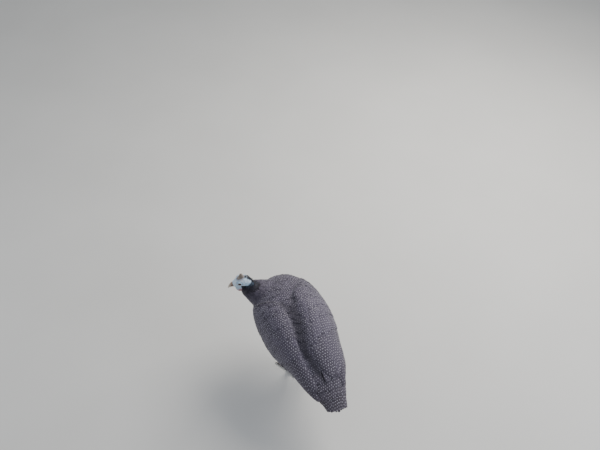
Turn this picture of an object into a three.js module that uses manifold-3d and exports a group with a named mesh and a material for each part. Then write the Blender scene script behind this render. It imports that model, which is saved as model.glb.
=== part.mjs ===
// A life-size pearl guinea fowl, standing with its wings folded and its head turned to its left.
// Millimetres, +Z up. The bird faces -Y, its left side is +X, and it stands on the plane z = 0.
// Flesh is cut into neck, head, thighs and so on by thin slits, and every touching pair keeps a small gap.

import * as THREE from "three";
import { mergeVertices } from "three/addons/utils/BufferGeometryUtils.js";
import Module from "manifold-3d";

const wasm = await Module();
wasm.setup();

// Driving dimensions

const slit = 0.3; // gap between two pieces that touch
const degree = Math.PI / 180;
const bodyRoll = 7 * degree; // the body leans to the bird's left about its own middle line
const tailSway = 13; // and its tail end is carried this far to the left
const tailCut = 128; // the tail begins at this distance behind the middle of the body
const featherThickness = 0.85;
const skullPlace = new THREE.Vector3(79.5, -141, 310);
const skullTurn = 70 * degree; // turned to the bird's left
const skullNod = 17 * degree; // bill a little down
const hockPlace = new THREE.Vector3(27, 33, 93);
const anklePlace = new THREE.Vector3(25.5, 3, 17);
const strideOffset = 7; // the left foot stands this far ahead, and the right one as far behind

// Body stations: distance from the middle (front is negative), height of the widest level,
// half width, rise to the back, drop to the belly
const bodyStations = [
  [-158, 228, 0, 0, 0],
  [-132, 228, 57, 42, 52],
  [-95, 223, 77, 66, 76],
  [-50, 214, 88, 84, 88],
  [-5, 205, 90, 89, 87],
  [40, 198, 83, 80, 74],
  [85, 190, 68, 61, 52],
  [120, 179, 49, 42, 32],
  [150, 164, 31, 25, 18],
  [175, 148, 0, 0, 0],
];
// The folded wings lie on the body and leave it behind, where they cover the base of the tail
const cloakRear = [
  [120, 179, 60, 46, 36],
  [150, 165, 50, 35, 27],
  [180, 147, 37, 27, 20],
  [208, 126, 27, 18, 14],
];
const cloakStations = [...bodyStations.slice(1, 7), ...cloakRear];
// The right wing is folded a little over the left, so the groove between them bears to the left behind:
// degrees from the midline by distance from the middle
const grooveLine = [
  [-60, 0],
  [-30, 1],
  [12, 4.5],
  [34, 9],
  [63, 17],
  [90, 22],
  [120, 21],
  [150, 16],
  [180, 10],
];
// Along each wing's upper border the cloak swells, which leaves a groove down the back: its height by
// distance from the middle, and its share by degrees from the groove
const swellStations = [
  [-100, 0],
  [-70, 3],
  [-20, 7],
  [50, 7.5],
  [90, 5],
  [120, 1.5],
  [140, 0],
];
const swellAcross = [
  [0, 0],
  [7, 0.04],
  [24, 1],
  [40, 0.75],
  [62, 0.2],
  [85, 0],
  [180, 0],
];

// Upper border of the folded wing by degrees from the groove, and lower border by degrees from the midline
const wingUpper = [
  [-104, 74],
  [-85, 47],
  [-62, 22],
  [-42, 10],
  [-10, 7.5],
  [40, 7.5],
  [85, 11.5],
  [120, 18],
  [150, 24],
  [180, 30],
];
const wingLower = [
  [-104, 88],
  [-85, 103],
  [-50, 110],
  [0, 110],
  [50, 106],
  [90, 102],
  [130, 97],
  [180, 88],
];

const tones = {
  plumage: { color: 0x5f5e68, roughness: 0.9 },
  wing: { color: 0x5a5a65, roughness: 0.85 },
  neckPlumage: { color: 0x3c3842, roughness: 0.9 },
  bareSkin: { color: 0xc3d6e4, roughness: 0.55 },
  horn: { color: 0x8d8278, roughness: 0.55 },
  bill: { color: 0xa3907f, roughness: 0.4 },
  wattle: { color: 0xb3979f, roughness: 0.5 },
  eye: { color: 0x1b1410, roughness: 0.08 },
  shank: { color: 0x6d675f, roughness: 0.6 },
  claw: { color: 0x3a352f, roughness: 0.45 },
};

const root = new THREE.Group();
const vec = (x, y, z) => new THREE.Vector3(x, y, z);
const mix = THREE.MathUtils.lerp;

// A smooth curve through stations that never overshoots them, as a function of the first column
function through(stations, column, power = 1) {
  const xs = stations.map((s) => s[0]);
  const ys = stations.map((s) => s[column] ** power);
  const slopes = xs.slice(1).map((x, i) => (ys[i + 1] - ys[i]) / (x - xs[i]));
  const tangents = xs.map((_, i) => {
    if (i === 0) return slopes[0];
    if (i === xs.length - 1) return slopes[i - 1];
    const [a, b] = [slopes[i - 1], slopes[i]];
    return a * b <= 0 ? 0 : (2 * a * b) / (a + b);
  });
  return (x) => {
    const last = xs.length - 1;
    const at = THREE.MathUtils.clamp(x, xs[0], xs[last]);
    const i = at >= xs[last] ? last - 1 : xs.findIndex((v) => v > at) - 1;
    const span = xs[i + 1] - xs[i];
    const t = (at - xs[i]) / span;
    const value =
      (2 * t ** 3 - 3 * t ** 2 + 1) * ys[i] +
      (t ** 3 - 2 * t ** 2 + t) * span * tangents[i] +
      (3 * t ** 2 - 2 * t ** 3) * ys[i + 1] +
      (t ** 3 - t ** 2) * span * tangents[i + 1];
    return power === 1 ? value : Math.max(0, value) ** (1 / power);
  };
}

// A tapered form described by stations. The radii are smoothed as squares, so that an end closes round
function formOf(stations) {
  return {
    first: stations[0][0],
    last: stations[stations.length - 1][0],
    level: through(stations, 1),
    half: through(stations, 2, 2),
    rise: through(stations, 3, 2),
    drop: through(stations, 4, 2),
  };
}

// The point of a form at a station, at an angle round from the top (left is positive) and at a height above
// its surface
function formPoint(form, y, angle, height = 0, squareness = 2.15) {
  const c = Math.cos(angle);
  const s = Math.sin(angle);
  const bend = 2 / squareness;
  const across = (form.half(y) + height) * Math.sign(s) * Math.abs(s) ** bend;
  const upward = (c > 0 ? form.rise(y) : form.drop(y)) + height;
  return vec(across, y, form.level(y) + upward * Math.sign(c) * Math.abs(c) ** bend);
}

const middleLine = through([bodyStations[0], ...cloakStations], 1);
function leaned(p) {
  const axis = middleLine(p.y);
  const turned = vec(p.x, 0, p.z - axis).applyAxisAngle(vec(0, 1, 0), bodyRoll);
  return vec(turned.x + tailSway * Math.max(0, (p.y - 10) / 195) ** 2, p.y, turned.z + axis);
}

// Solids
// Rings of points, each joined to the next. A ring of one point closes an end; a longer end ring gets a cap.
// In a thin piece a ring runs over the top and back underneath, and both faces are split alike.
function ringSolid(rings, { thin = false } = {}) {
  const points = [];
  const starts = rings.map((ring) => points.push(...ring) - ring.length);
  const faces = [];
  for (let i = 1; i < rings.length; i++) {
    const [a, b] = [starts[i - 1], starts[i]];
    const [m, n] = [rings[i - 1].length, rings[i].length];
    const count = Math.max(m, n);
    for (let k = 0; k < count; k++) {
      const next = (k + 1) % count;
      if (m === 1) faces.push(a, b + k, b + next);
      else if (n === 1) faces.push(a + k, b, a + next);
      else if (thin && k >= count / 2) faces.push(a + k, b + k, a + next, b + k, b + next, a + next);
      else faces.push(a + k, b + k, b + next, a + k, b + next, a + next);
    }
  }
  const cap = (ring, start, turned) => {
    const n = ring.length;
    if (n === 1) return;
    const add = (a, b, c) => faces.push(...(turned ? [a, c, b] : [a, b, c]));
    if (thin) {
      for (let k = 0; k < n / 2 - 1; k++) {
        const [p, q, r, s] = [start + k, start + k + 1, start + n - 2 - k, start + n - 1 - k];
        add(s, p, q);
        add(s, q, r);
      }
      return;
    }
    const middle = points.push(ring.reduce((sum, p) => sum.add(p), vec(0, 0, 0)).divideScalar(n)) - 1;
    for (let k = 0; k < n; k++) add(middle, start + k, start + ((k + 1) % n));
  };
  cap(rings[0], starts[0], false);
  cap(rings[rings.length - 1], starts[rings.length - 1], true);
  const geometry = new THREE.BufferGeometry().setFromPoints(points);
  geometry.setIndex(faces);
  return solidOf(geometry);
}

function solidOf(geometry) {
  const bare = geometry.clone();
  bare.deleteAttribute("normal");
  bare.deleteAttribute("uv");
  const merged = mergeVertices(bare, 1e-4);
  const vertProperties = merged.attributes.position.array;
  const build = (triVerts) => new wasm.Manifold(new wasm.Mesh({ numProp: 3, vertProperties, triVerts }));
  const made = build(new Uint32Array(merged.index.array));
  if (made.volume() > 0) return made;
  return build(new Uint32Array(merged.index.array).reverse());
}

const fuse = (solids) => solids.reduce((sum, next) => sum.add(next));

function largest(solid) {
  const bodies = solid.decompose();
  return bodies.reduce((best, next) => (next.volume() > best.volume() ? next : best));
}

// Keeps what lies on the side of a plane that the normal points to
function keep(solid, point, normal) {
  const n = normal.clone().normalize();
  return solid.trimByPlane([n.x, n.y, n.z], n.dot(point));
}

function addNode(name, solid, tone) {
  const mesh = largest(solid).getMesh();
  const geometry = new THREE.BufferGeometry();
  geometry.setAttribute("position", new THREE.BufferAttribute(new Float32Array(mesh.vertProperties), 3));
  geometry.setIndex(new THREE.BufferAttribute(new Uint32Array(mesh.triVerts), 1));
  const node = new THREE.Mesh(geometry, new THREE.MeshStandardMaterial({ metalness: 0, ...tones[tone] }));
  node.name = name;
  root.add(node);
}

// The whole of a form as rings, closer together towards its round ends
function formSolid(form, { rings, around, height = 0, squareness, place = (p) => p }) {
  const middle = (form.first + form.last) / 2;
  const half = (form.last - form.first) / 2;
  const list = [];
  for (let i = 0; i <= rings; i++) {
    const turn = (Math.PI * i) / rings;
    const y = middle - half * Math.cos(turn);
    const open = Math.sqrt(Math.max(0, Math.sin(turn)));
    const shift = vec(0, -Math.cos(turn) * height, 0);
    if (open < 1e-3 && form.half(y) < 1e-3) {
      list.push([place(vec(0, y, form.level(y)).add(shift))]);
      continue;
    }
    const ring = [];
    for (let k = 0; k < around; k++)
      ring.push(place(formPoint(form, y, (2 * Math.PI * k) / around, height * open, squareness).add(shift)));
    list.push(ring);
  }
  return ringSolid(list);
}

// A round, tapering limb along a curve: each stop is a point, a half width and a half depth
function limbSolid(stops, { steps, around, closedEnds = [false, false] }) {
  const curve = new THREE.CatmullRomCurve3(stops.map((s) => s[0]), false, "centripetal");
  const along = stops.map((_, i) => i / (stops.length - 1));
  const widths = through(along.map((t, i) => [t, stops[i][1], stops[i][2]]), 1);
  const depths = through(along.map((t, i) => [t, stops[i][1], stops[i][2]]), 2);
  const rings = [];
  let side = vec(1, 0, 0);
  for (let i = 0; i <= steps; i++) {
    const t = i / steps;
    const centre = curve.getPoint(t);
    const ahead = curve.getTangent(t);
    side = side.clone().addScaledVector(ahead, -side.dot(ahead)).normalize();
    const front = ahead.clone().cross(side);
    if ((i === 0 && closedEnds[0]) || (i === steps && closedEnds[1])) {
      rings.push([centre]);
      continue;
    }
    const ring = [];
    for (let k = 0; k < around; k++) {
      const a = (2 * Math.PI * k) / around;
      ring.push(
        centre
          .clone()
          .addScaledVector(side, widths(t) * Math.cos(a))
          .addScaledVector(front, depths(t) * Math.sin(a)),
      );
    }
    rings.push(ring);
  }
  return ringSolid(rings);
}

const body = formOf(bodyStations);
const cloak = formOf(cloakStations);
const swell = through(swellStations, 1);
const swellShare = through(swellAcross, 1);
const grooveAngle = through(grooveLine, 1);

function cloakPoint(y, angle, height = 0) {
  const turn = angle - grooveAngle(y) * degree;
  const fromGroove = Math.abs(Math.atan2(Math.sin(turn), Math.cos(turn))) / degree;
  return formPoint(cloak, y, angle, height + swell(y) * swellShare(fromGroove));
}

// Feathers
// One feather is a thin blade that lies on the cloak. It is bent at distances from the middle that are the
// same for all feathers, so that neighbours stay parallel. angleAt, spacingAt and heightAt give, from 0 at
// the root to 1 at the tip, its line on the cloak, the angle to its neighbour and its height. Across, it is
// tilted so that each feather lies over its neighbour, and upper and lower are its reaches to both sides.
const rowSpacing = 22;
const bladeShare = through([[0, 0.6], [0.4, 1], [0.8, 0.96], [1, 0.36]], 1);
const layerStep = 1.25; // height from one feather of a tier to the next

function bladeRows(rootY, tipY) {
  const rows = [rootY];
  for (let y = Math.ceil((rootY + 6) / rowSpacing) * rowSpacing; y < tipY - 13; y += rowSpacing) rows.push(y);
  return [...rows, tipY - 7, tipY];
}

function blade({ side, rootY, tipY, angleAt, spacingAt, heightAt, upper, lower }) {
  const rings = bladeRows(rootY, tipY).map((y) => {
    const along = (y - rootY) / (tipY - rootY);
    const share = bladeShare(along);
    const angle = angleAt(along);
    const [before, after] = [-0.1, 0.1].map((turn) => cloakPoint(y, side * (angle + turn)));
    const perRadian = before.distanceTo(after) / 0.2;
    const at = (across, lift) => {
      const turn = across / perRadian;
      const height = heightAt(along) + layerStep * (turn / spacingAt(along)) + lift;
      return leaned(cloakPoint(y, side * (angle + turn), height));
    };
    const reaches = [-upper * share, 0, lower * share];
    const top = reaches.map((across) => at(across, featherThickness / 2 + (across === 0 ? 0.1 : 0)));
    const under = reaches.reverse().map((across) => at(across, -featherThickness / 2));
    return [...top, ...under];
  });
  return ringSolid(rings, { thin: true });
}

const bodyShape = { rings: 20, around: 26, place: leaned };
const wholeBody = formSolid(body, bodyShape);
const bodyClearance = formSolid(body, { ...bodyShape, height: slit });

// Wings
const upperEdge = through(wingUpper, 1);
const lowerEdge = through(wingLower, 1);
const wingAngle = (side, y, v) => mix(upperEdge(y) + side * grooveAngle(y), lowerEdge(y), v) * degree;

// Tiers of the folded wing. low and high are its lowest and highest feather: root, tip, share down the wing
// at the root and at the tip. rise is the height of root and tip over the cloak's surface.
const wingTiers = [
  { count: 5, low: [70, 112, 0.96, 0.97], high: [84, 167, 0.55, 0.46], half: 6.8, rise: [-1, 2.5] },
  { count: 7, low: [34, 100, 0.88, 0.86], high: [44, 148, 0.14, 0.1], half: 9.5, rise: [0, 4] },
  { count: 6, low: [-14, 44, 0.88, 0.86], high: [-2, 74, 0.16, 0.12], half: 12, rise: [0.6, 5.4] },
  { count: 5, low: [-46, 0, 0.86, 0.88], high: [-36, 26, 0.2, 0.14], half: 13, rise: [1.4, 6.2] },
  { count: 4, low: [-80, -38, 0.8, 0.84], high: [-68, -18, 0.32, 0.22], half: 13.5, rise: [1.6, 6.6] },
];
const secondaryBow = 14; // how far the middle secondaries pass a straight line between the end ones
const emerge = (rise, along) => mix(rise[0], rise[1], Math.min(1, 0.5 * along + 1.1 * Math.min(along, 0.4)));

function wingFeathers(side) {
  return wingTiers.flatMap((tier, row) =>
    Array.from({ length: tier.count }, (_, k) => {
      const share = k / (tier.count - 1);
      const [rootY, straightTip, rootV, tipV] = tier.low.map((v, i) => mix(v, tier.high[i], share));
      const tipY = straightTip + (row === 1 ? Math.sin(Math.PI * share) * secondaryBow : 0);
      const angleOf = (v, along) => wingAngle(side, mix(rootY, tipY, along), v);
      const spread = [2, 3].map((i) => (tier.low[i] - tier.high[i]) / (tier.count - 1));
      return blade({
        side,
        rootY,
        tipY,
        angleAt: (along) => angleOf(mix(rootV, tipV, along), along),
        spacingAt: (along) => angleOf(mix(spread[0], spread[1], along), along) - angleOf(0, along),
        heightAt: (along) => emerge(tier.rise, along),
        upper: tier.half,
        lower: tier.half,
      });
    }),
  );
}

// The wing's own flesh and the close lie of small feathers over it: thick at the shoulder, thin behind
function wingCore(side) {
  const stops = [-103, -96, -80, -54, -22, 0, 22, 44, 66, 88, 110];
  const depths = [[-104, 0.6], [-92, 3.6], [-55, 4.2], [-22, 3.4], [22, 2.5], [66, 1.6], [110, 0.5]];
  const thickness = through(depths, 1);
  const columns = 6;
  const rings = stops.map((y) => {
    const top = [];
    const under = [];
    for (let i = 0; i <= columns; i++) {
      const v = i / columns;
      const edge = Math.sin(Math.PI * THREE.MathUtils.clamp(v, 0.07, 0.93)) ** 0.5;
      const angle = side * wingAngle(side, y, v);
      top.push(leaned(cloakPoint(y, angle, 0.9 + thickness(y) * edge)));
      under.unshift(leaned(formPoint(cloak, y, angle, -3)));
    }
    return [...top, ...under];
  });
  return ringSolid(rings, { thin: true });
}

function wing(side, name) {
  const whole = fuse([wingCore(side), ...wingFeathers(side)]);
  addNode(name, whole.subtract(bodyClearance), "wing");
}

// Tail: a nearly closed fan of flight feathers like a low roof, the middle one on top, with coverts over and
// under it. first and last are [root angle, tip angle] from the midline, and ends are where the middle
// feather begins and ends. Outer feathers are a little shorter.
const tailTiers = [
  { pairs: 5, first: [10, 16], last: [54, 86], ends: [134, 208], short: 10, half: 8.5, rise: [-13, -4.2] },
  { pairs: 3, first: [15, 19], last: [46, 66], ends: [131, 179], short: 8, half: 9, rise: [-11, -2.6] },
  { pairs: 2, first: [15, 18], last: [32, 38], ends: [130, 157], short: 5, half: 9.5, rise: [-9.5, -1.2] },
  { pairs: 2, first: [166, 163], last: [146, 138], ends: [136, 186], short: 6, half: 9, rise: [-14, -4.5] },
];

const tailSkew = 7; // the fan turns a little to the left, so its right feathers end farther back

function tailFeathers() {
  return tailTiers.flatMap((tier) => {
    const middle = tier.first[0] > 90 ? 180 : 0;
    const steps = [0, 1].map((i) => ((tier.last[i] - tier.first[i]) / (tier.pairs - 1)) * degree);
    const feather = (side, root, tip, k) =>
      blade({
        side,
        rootY: tier.ends[0],
        tipY: tier.ends[1] - ((tier.short + side * tailSkew) * k) / tier.pairs,
        angleAt: (along) => mix(root, tip, along) * degree,
        spacingAt: (along) => (k === 0 ? Infinity : mix(steps[0], steps[1], along)),
        heightAt: (along) => emerge(tier.rise, along) + (k === 0 ? 0.7 : 0),
        upper: k > 0 && middle === 0 ? Math.min(tier.half, 3.4 * k) : tier.half,
        lower: k > 0 && middle > 0 ? Math.min(tier.half, 4 * k) : tier.half,
      });
    const sides = [1, -1].flatMap((side) =>
      Array.from({ length: tier.pairs }, (_, i) => {
        const [root, tip] = [0, 1].map((end) => mix(tier.first[end], tier.last[end], i / (tier.pairs - 1)));
        return feather(side, root, tip, i + 1);
      }),
    );
    return [feather(1, middle, middle, 0), ...sides];
  });
}

function tailCoreSolid() {
  const around = 16;
  const rings = [tailCut + slit, 146, 160, 169, 173.5].map((y) =>
    Array.from({ length: around }, (_, k) => leaned(formPoint(body, y, (2 * Math.PI * k) / around))),
  );
  return ringSolid([...rings, [leaned(vec(0, body.last, body.level(body.last)))]]);
}

// Head, in its own frame: bill towards -Y, crown up
const headMatrix = new THREE.Matrix4().compose(
  skullPlace,
  new THREE.Quaternion().setFromEuler(new THREE.Euler(skullNod, 0, skullTurn, "ZYX")),
  vec(1, 1, 1),
);
const fromHead = (x, y, z) => vec(x, y, z).applyMatrix4(headMatrix);
const inHead = (geometry, x, y, z, turn = [0, 0, 0], scale = [1, 1, 1]) => {
  const local = new THREE.Matrix4().compose(
    vec(x, y, z),
    new THREE.Quaternion().setFromEuler(new THREE.Euler(...turn)),
    vec(...scale),
  );
  return solidOf(geometry.clone().applyMatrix4(local).applyMatrix4(headMatrix));
};

const headStations = [
  [-27, -3, 5.4, 4.8, 5.4],
  [-21, -2.2, 8, 7.2, 8.6],
  [-14, -0.8, 10.8, 10.6, 12],
  [-5, 0, 12.6, 13.2, 13],
  [5, 0, 12.4, 13.4, 13.2],
  [14, -1.4, 9.4, 10.2, 11],
  [20.5, -3, 0, 0, 0],
];
const headForm = formOf(headStations);
const headShape = { rings: 13, around: 18, squareness: 2.05, place: (p) => p.applyMatrix4(headMatrix) };
const skull = formSolid(headForm, headShape);
const skullClearance = formSolid(headForm, { ...headShape, height: 1.4 * slit });

const eye = { y: -6.5, round: 78 * degree, radius: 6, depth: 4.4 }; // depth of its centre under the skin
const ear = { x: 11.9, y: 7.5, z: -2 };
const gape = { y: -14, z: -6.2 };

// Neck: from inside the breast, forward and round to the bird's left, up to the back of the skull
const neckStops = [
  [vec(6, -78, 222), 58, 60],
  [vec(23, -107, 234), 49, 52],
  [vec(49, -129, 253), 34, 37],
  [vec(69, -138, 277), 19, 20],
  [fromHead(0, 13, -20), 12.6, 13.6],
  [fromHead(0, 9, -9), 11.2, 12.2],
  [fromHead(0, 4, -2), 9.5, 10.5],
];
const wholeNeck = limbSolid(neckStops, { steps: 15, around: 16 });
const neckCurve = new THREE.CatmullRomCurve3(neckStops.map((s) => s[0]), false, "centripetal");
const neckBase = { point: neckCurve.getPoint(0.3), way: neckCurve.getTangent(0.3) };
const neckTop = { point: neckCurve.getPoint(0.74), way: neckCurve.getTangent(0.74) };
const beyond = (end) => end.point.clone().addScaledVector(end.way, slit);
const reversed = (v) => v.clone().negate();

// The eye's own frame on one side: its centre, with +Z in the direction it looks in, square to the skin
function eyeFrame(side) {
  const at = (y, turn) => formPoint(headForm, y, side * (eye.round + turn), 0, headShape.squareness);
  const skin = at(eye.y, 0);
  const ahead = at(eye.y - 1, 0).sub(skin);
  const out = at(eye.y, 0.1).sub(skin).cross(ahead).multiplyScalar(-side).normalize();
  const turn = new THREE.Quaternion().setFromUnitVectors(vec(0, 0, 1), out);
  const place = new THREE.Matrix4().compose(skin.addScaledVector(out, -eye.depth), turn, vec(1, 1, 1));
  return place.premultiply(headMatrix);
}

// The front half of a ball, flat behind, where the socket hides it
function eyeBall(side, growth) {
  const frame = eyeFrame(side);
  const radius = eye.radius + growth;
  const ring = (turn, z) =>
    Array.from({ length: 12 }, (_, k) => {
      const a = (2 * Math.PI * k) / 12;
      const r = radius * Math.cos(turn);
      return vec(r * Math.cos(a), r * Math.sin(a), z).applyMatrix4(frame);
    });
  const turns = [0, 0.42, 0.82, 1.2];
  const rings = turns.map((turn) => ring(turn, radius * Math.sin(turn) - (turn === 0 ? growth : 0)));
  return ringSolid([...rings, [vec(0, 0, radius).applyMatrix4(frame)]]);
}

function headPieces() {
  const lid = new THREE.TorusGeometry(4.7, 1.15, 6, 14).translate(0, 0, 3.9);
  const earRim = new THREE.TorusGeometry(2.5, 0.7, 5, 9);
  const earCup = new THREE.SphereGeometry(2.2, 8, 6);
  const mouthSlit = new THREE.SphereGeometry(1, 8, 6);
  const added = [skull, keep(wholeNeck, beyond(neckTop), neckTop.way)];
  const removed = [];
  for (const side of [1, -1]) {
    added.push(solidOf(lid.clone().applyMatrix4(eyeFrame(side))));
    const earTurn = [0, Math.PI / 2, side * 20 * degree];
    added.push(inHead(earRim, side * (ear.x - 0.8), ear.y, ear.z, earTurn, [1, 1.2, 1]));
    removed.push(eyeBall(side, slit));
    removed.push(inHead(earCup, side * (ear.x + 0.4), ear.y, ear.z, [0, 0, 0], [0.9, 1, 0.85]));
    const slitTurn = [-0.16, 0, side * 0.42];
    removed.push(inHead(mouthSlit, side * 9.6, gape.y - 3, gape.z + 1.6, slitTurn, [2, 8.5, 0.55]));
  }
  return fuse(added).subtract(fuse(removed));
}
const headSolid = headPieces();

// Bill: two horny halves that close on each other, with a nostril on each side
const upperBill = formOf([
  [-41.5, -11.6, 0, 0, 0],
  [-39.8, -9.4, 2, 2.8, 1.3],
  [-36, -6.6, 4, 5, 0.6],
  [-30, -4.3, 5.8, 6.3, 0.4],
  [-24, -3.4, 6.8, 7, 0.6],
  [-16, -3.2, 7, 7.2, 0.8],
]);
const lowerBill = formOf([
  [-38.6, -9.6, 0, 0, 0],
  [-36.5, -8.4, 2.4, 0.3, 2.1],
  [-30, -5.6, 4.8, 0.4, 3.8],
  [-24, -4.9, 6, 0.5, 4.6],
  [-16, -4.8, 6.2, 0.6, 4.8],
]);
const billShape = { rings: 9, around: 12, squareness: 1.9, place: headShape.place };

const upperBillWhole = formSolid(upperBill, billShape);
const lowerBillSolid = formSolid(lowerBill, billShape)
  .subtract(formSolid(upperBill, { ...billShape, height: 2 * slit }))
  .subtract(skullClearance);

function upperBillSolid() {
  const nostril = new THREE.SphereGeometry(1, 7, 5);
  const pits = [1, -1].map((side) =>
    inHead(nostril, side * 6.3, -28.2, -0.1, [0.1, 0, side * 0.2], [1.7, 2.1, 0.9]),
  );
  return upperBillWhole.subtract(fuse(pits)).subtract(skullClearance);
}

// Casque: a bony helmet on the crown, narrow from side to side and leaning back
function casqueSolid() {
  const rings = [];
  const levels = [
    [9, 9.5, 5.6, 1],
    [12.6, 9, 5.2, 1.2],
    [16, 7.2, 3.9, 2.6],
    [20, 5.4, 3, 4.4],
    [23.5, 3.6, 2.3, 6],
    [25.6, 1.8, 1.3, 7],
  ];
  for (const [z, long, wide, back] of levels) {
    const ring = [];
    for (let k = 0; k < 14; k++) {
      const a = (2 * Math.PI * k) / 14;
      ring.push(fromHead(wide * Math.cos(a), back + long * Math.sin(a), z));
    }
    rings.push(ring);
  }
  rings.push([fromHead(0, 7.4, 26.3)]);
  return ringSolid(rings).subtract(skullClearance);
}

// Wattle: a cupped flap that hangs from the corner of the mouth
function wattleSolid(side) {
  const rows = 6;
  const columns = 4;
  const rings = [];
  for (let i = 0; i <= rows; i++) {
    const down = i / rows;
    const half = 7.4 * Math.sqrt(Math.max(0.02, Math.sin(Math.PI * Math.min(0.985, 0.2 + 0.8 * down))));
    const thick = mix(1.5, 0.75, down) * (1 + 0.35 * Math.sin(Math.PI * down));
    const line = (offset) =>
      Array.from({ length: columns + 1 }, (_, k) => {
        const b = (2 * k) / columns - 1;
        const cup = 2.2 * down ** 2 + 1.2 * b * b * down;
        const bulge = Math.sqrt(Math.max(0.12, 1 - b * b * 0.86));
        return fromHead(
          side * (9.2 + cup + offset * thick * bulge),
          gape.y - 1.5 + b * half + 1.5 * down,
          gape.z - 0.6 - 18 * down,
        );
      });
    rings.push([...line(1), ...line(-1).reverse()]);
  }
  return ringSolid(rings, { thin: true }).subtract(skullClearance);
}

// Legs, on the bird's left; the right one is its mirror with the stride turned round
function legPlace(side, p) {
  return vec(side * p.x, p.y - side * strideOffset * (1 - p.z / 150), p.z);
}
const kneePlace = vec(28, 30, 99);
const thighStops = [
  [vec(34, -18, 168), 30, 38],
  [vec(38, -6, 140), 25, 33],
  [vec(35, 14, 117), 15, 20],
  [kneePlace, 8.5, 10],
];
const shankStops = [
  [hockPlace.clone().lerp(kneePlace, 0.4), 7.6, 8.6],
  [hockPlace.clone(), 7.8, 8.8],
  [hockPlace.clone().lerp(anklePlace, 0.16), 5.6, 6.6],
  [hockPlace.clone().lerp(anklePlace, 0.5), 4.4, 5.4],
  [hockPlace.clone().lerp(anklePlace, 0.86), 4.9, 5.4],
  [anklePlace.clone(), 6.4, 6.2],
];
const along = (from, to, distance) => from.clone().add(to.clone().sub(from).setLength(distance));

// Toes: way round from straight ahead (outwards is positive), length, width at the root and at the end
const toes = [
  { name: "middle", way: 4, length: 47, root: 4.9, end: 3, pads: 3, claw: 13 },
  { name: "inner", way: -36, length: 33, root: 4.5, end: 2.8, pads: 2, claw: 11.5 },
  { name: "outer", way: 30, length: 37, root: 4.5, end: 2.8, pads: 3, claw: 11 },
  { name: "hind", way: 172, length: 16, root: 3.6, end: 2.4, pads: 1, claw: 9 },
];
const footCentre = vec(anklePlace.x, anklePlace.y - 4, 6.4);

function toeLine(toe) {
  const heading = vec(Math.sin(toe.way * degree), -Math.cos(toe.way * degree), 0);
  const start = toe.name === "hind" ? footCentre.clone().add(vec(0, 3, 4)) : footCentre.clone();
  return { start, heading };
}

// A point on a toe's line, at a distance from its root and a height over the floor
function toePlace(toe, side, distance, z) {
  const { start, heading } = toeLine(toe);
  return legPlace(side, start.clone().addScaledVector(heading, distance).setZ(z));
}

function toeSolid(toe, side) {
  const { start } = toeLine(toe);
  const steps = 2 * toe.pads + 1;
  const stops = [];
  for (let i = 0; i <= steps; i++) {
    const t = i / steps;
    const pad = 0.5 - 0.5 * Math.cos(2 * Math.PI * toe.pads * t);
    const radius = mix(toe.root, toe.end, t) * (0.86 + 0.16 * pad);
    const settle = Math.min(1, t * (toe.name === "hind" ? 1 : 3));
    const height = mix(start.z, radius * 0.88, settle);
    stops.push([toePlace(toe, side, t * (toe.length + 0.6), height), radius, radius]);
  }
  const end = toePlace(toe, side, toe.length, toe.end);
  const beforeEnd = toePlace(toe, side, toe.length - 1, toe.end);
  return keep(limbSolid(stops, { steps, around: 8 }), end, beforeEnd.sub(end));
}

function clawSolid(toe, side) {
  const thick = toe.end * 0.74;
  const at = (share, z) => toePlace(toe, side, toe.length + share * toe.claw, z);
  const stops = [
    [at(-0.08, toe.end * 0.93), thick, thick],
    [at(0.35, toe.end * 1.02), thick * 0.86, thick * 0.9],
    [at(0.72, toe.end * 0.8), thick * 0.55, thick * 0.6],
    [at(1, 0.5), 0.2, 0.2],
  ];
  const curved = limbSolid(stops, { steps: 5, around: 6, closedEnds: [false, true] });
  const base = toePlace(toe, side, toe.length + slit, toe.end);
  const ahead = toePlace(toe, side, toe.length + 1 + slit, toe.end).sub(base);
  return keep(keep(curved, base, ahead), vec(0, 0, 0.02), vec(0, 0, 1));
}

function leg(side, word) {
  const thighPoints = thighStops.map(([p, w, d]) => [legPlace(side, p), w, d]);
  const shankPoints = shankStops.map(([p, w, d]) => [legPlace(side, p), w, d]);
  const knee = thighPoints[thighPoints.length - 1][0];
  const before = thighPoints[thighPoints.length - 2][0];
  const kneeWay = knee.clone().sub(before).normalize();
  const thighSolid = keep(limbSolid(thighPoints, { steps: 8, around: 14 }), knee, reversed(kneeWay));
  addNode(`thigh_${word}`, thighSolid.subtract(bodyClearance), "plumage");

  const ankle = legPlace(side, anklePlace);
  const shaftWay = ankle.clone().sub(legPlace(side, hockPlace)).normalize();
  const shaft = fuse([
    limbSolid([[along(knee, before, 4), 6, 7], ...shankPoints.slice(1)], { steps: 11, around: 10 }),
  ]);
  const cutShaft = keep(shaft, knee.clone().addScaledVector(kneeWay, slit), kneeWay);
  addNode(`shank_${word}`, keep(cutShaft, ankle, reversed(shaftWay)), "shank");

  const ankleStub = limbSolid(
    [
      [ankle.clone().addScaledVector(shaftWay, -2), 6.2, 6],
      [legPlace(side, footCentre.clone().add(vec(0, 1, 1.5))), 6.8, 6.4],
      [legPlace(side, footCentre.clone().add(vec(0, 0, -3))), 5, 5],
    ],
    { steps: 3, around: 10 },
  );
  const foot = fuse([ankleStub, ...toes.map((toe) => toeSolid(toe, side))]);
  const cutFoot = keep(foot, ankle.clone().addScaledVector(shaftWay, slit), shaftWay);
  addNode(`foot_${word}`, keep(cutFoot, vec(0, 0, 0), vec(0, 0, 1)), "shank");
  for (const toe of toes) addNode(`claw_${toe.name}_${word}`, clawSolid(toe, side), "claw");
}

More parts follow.
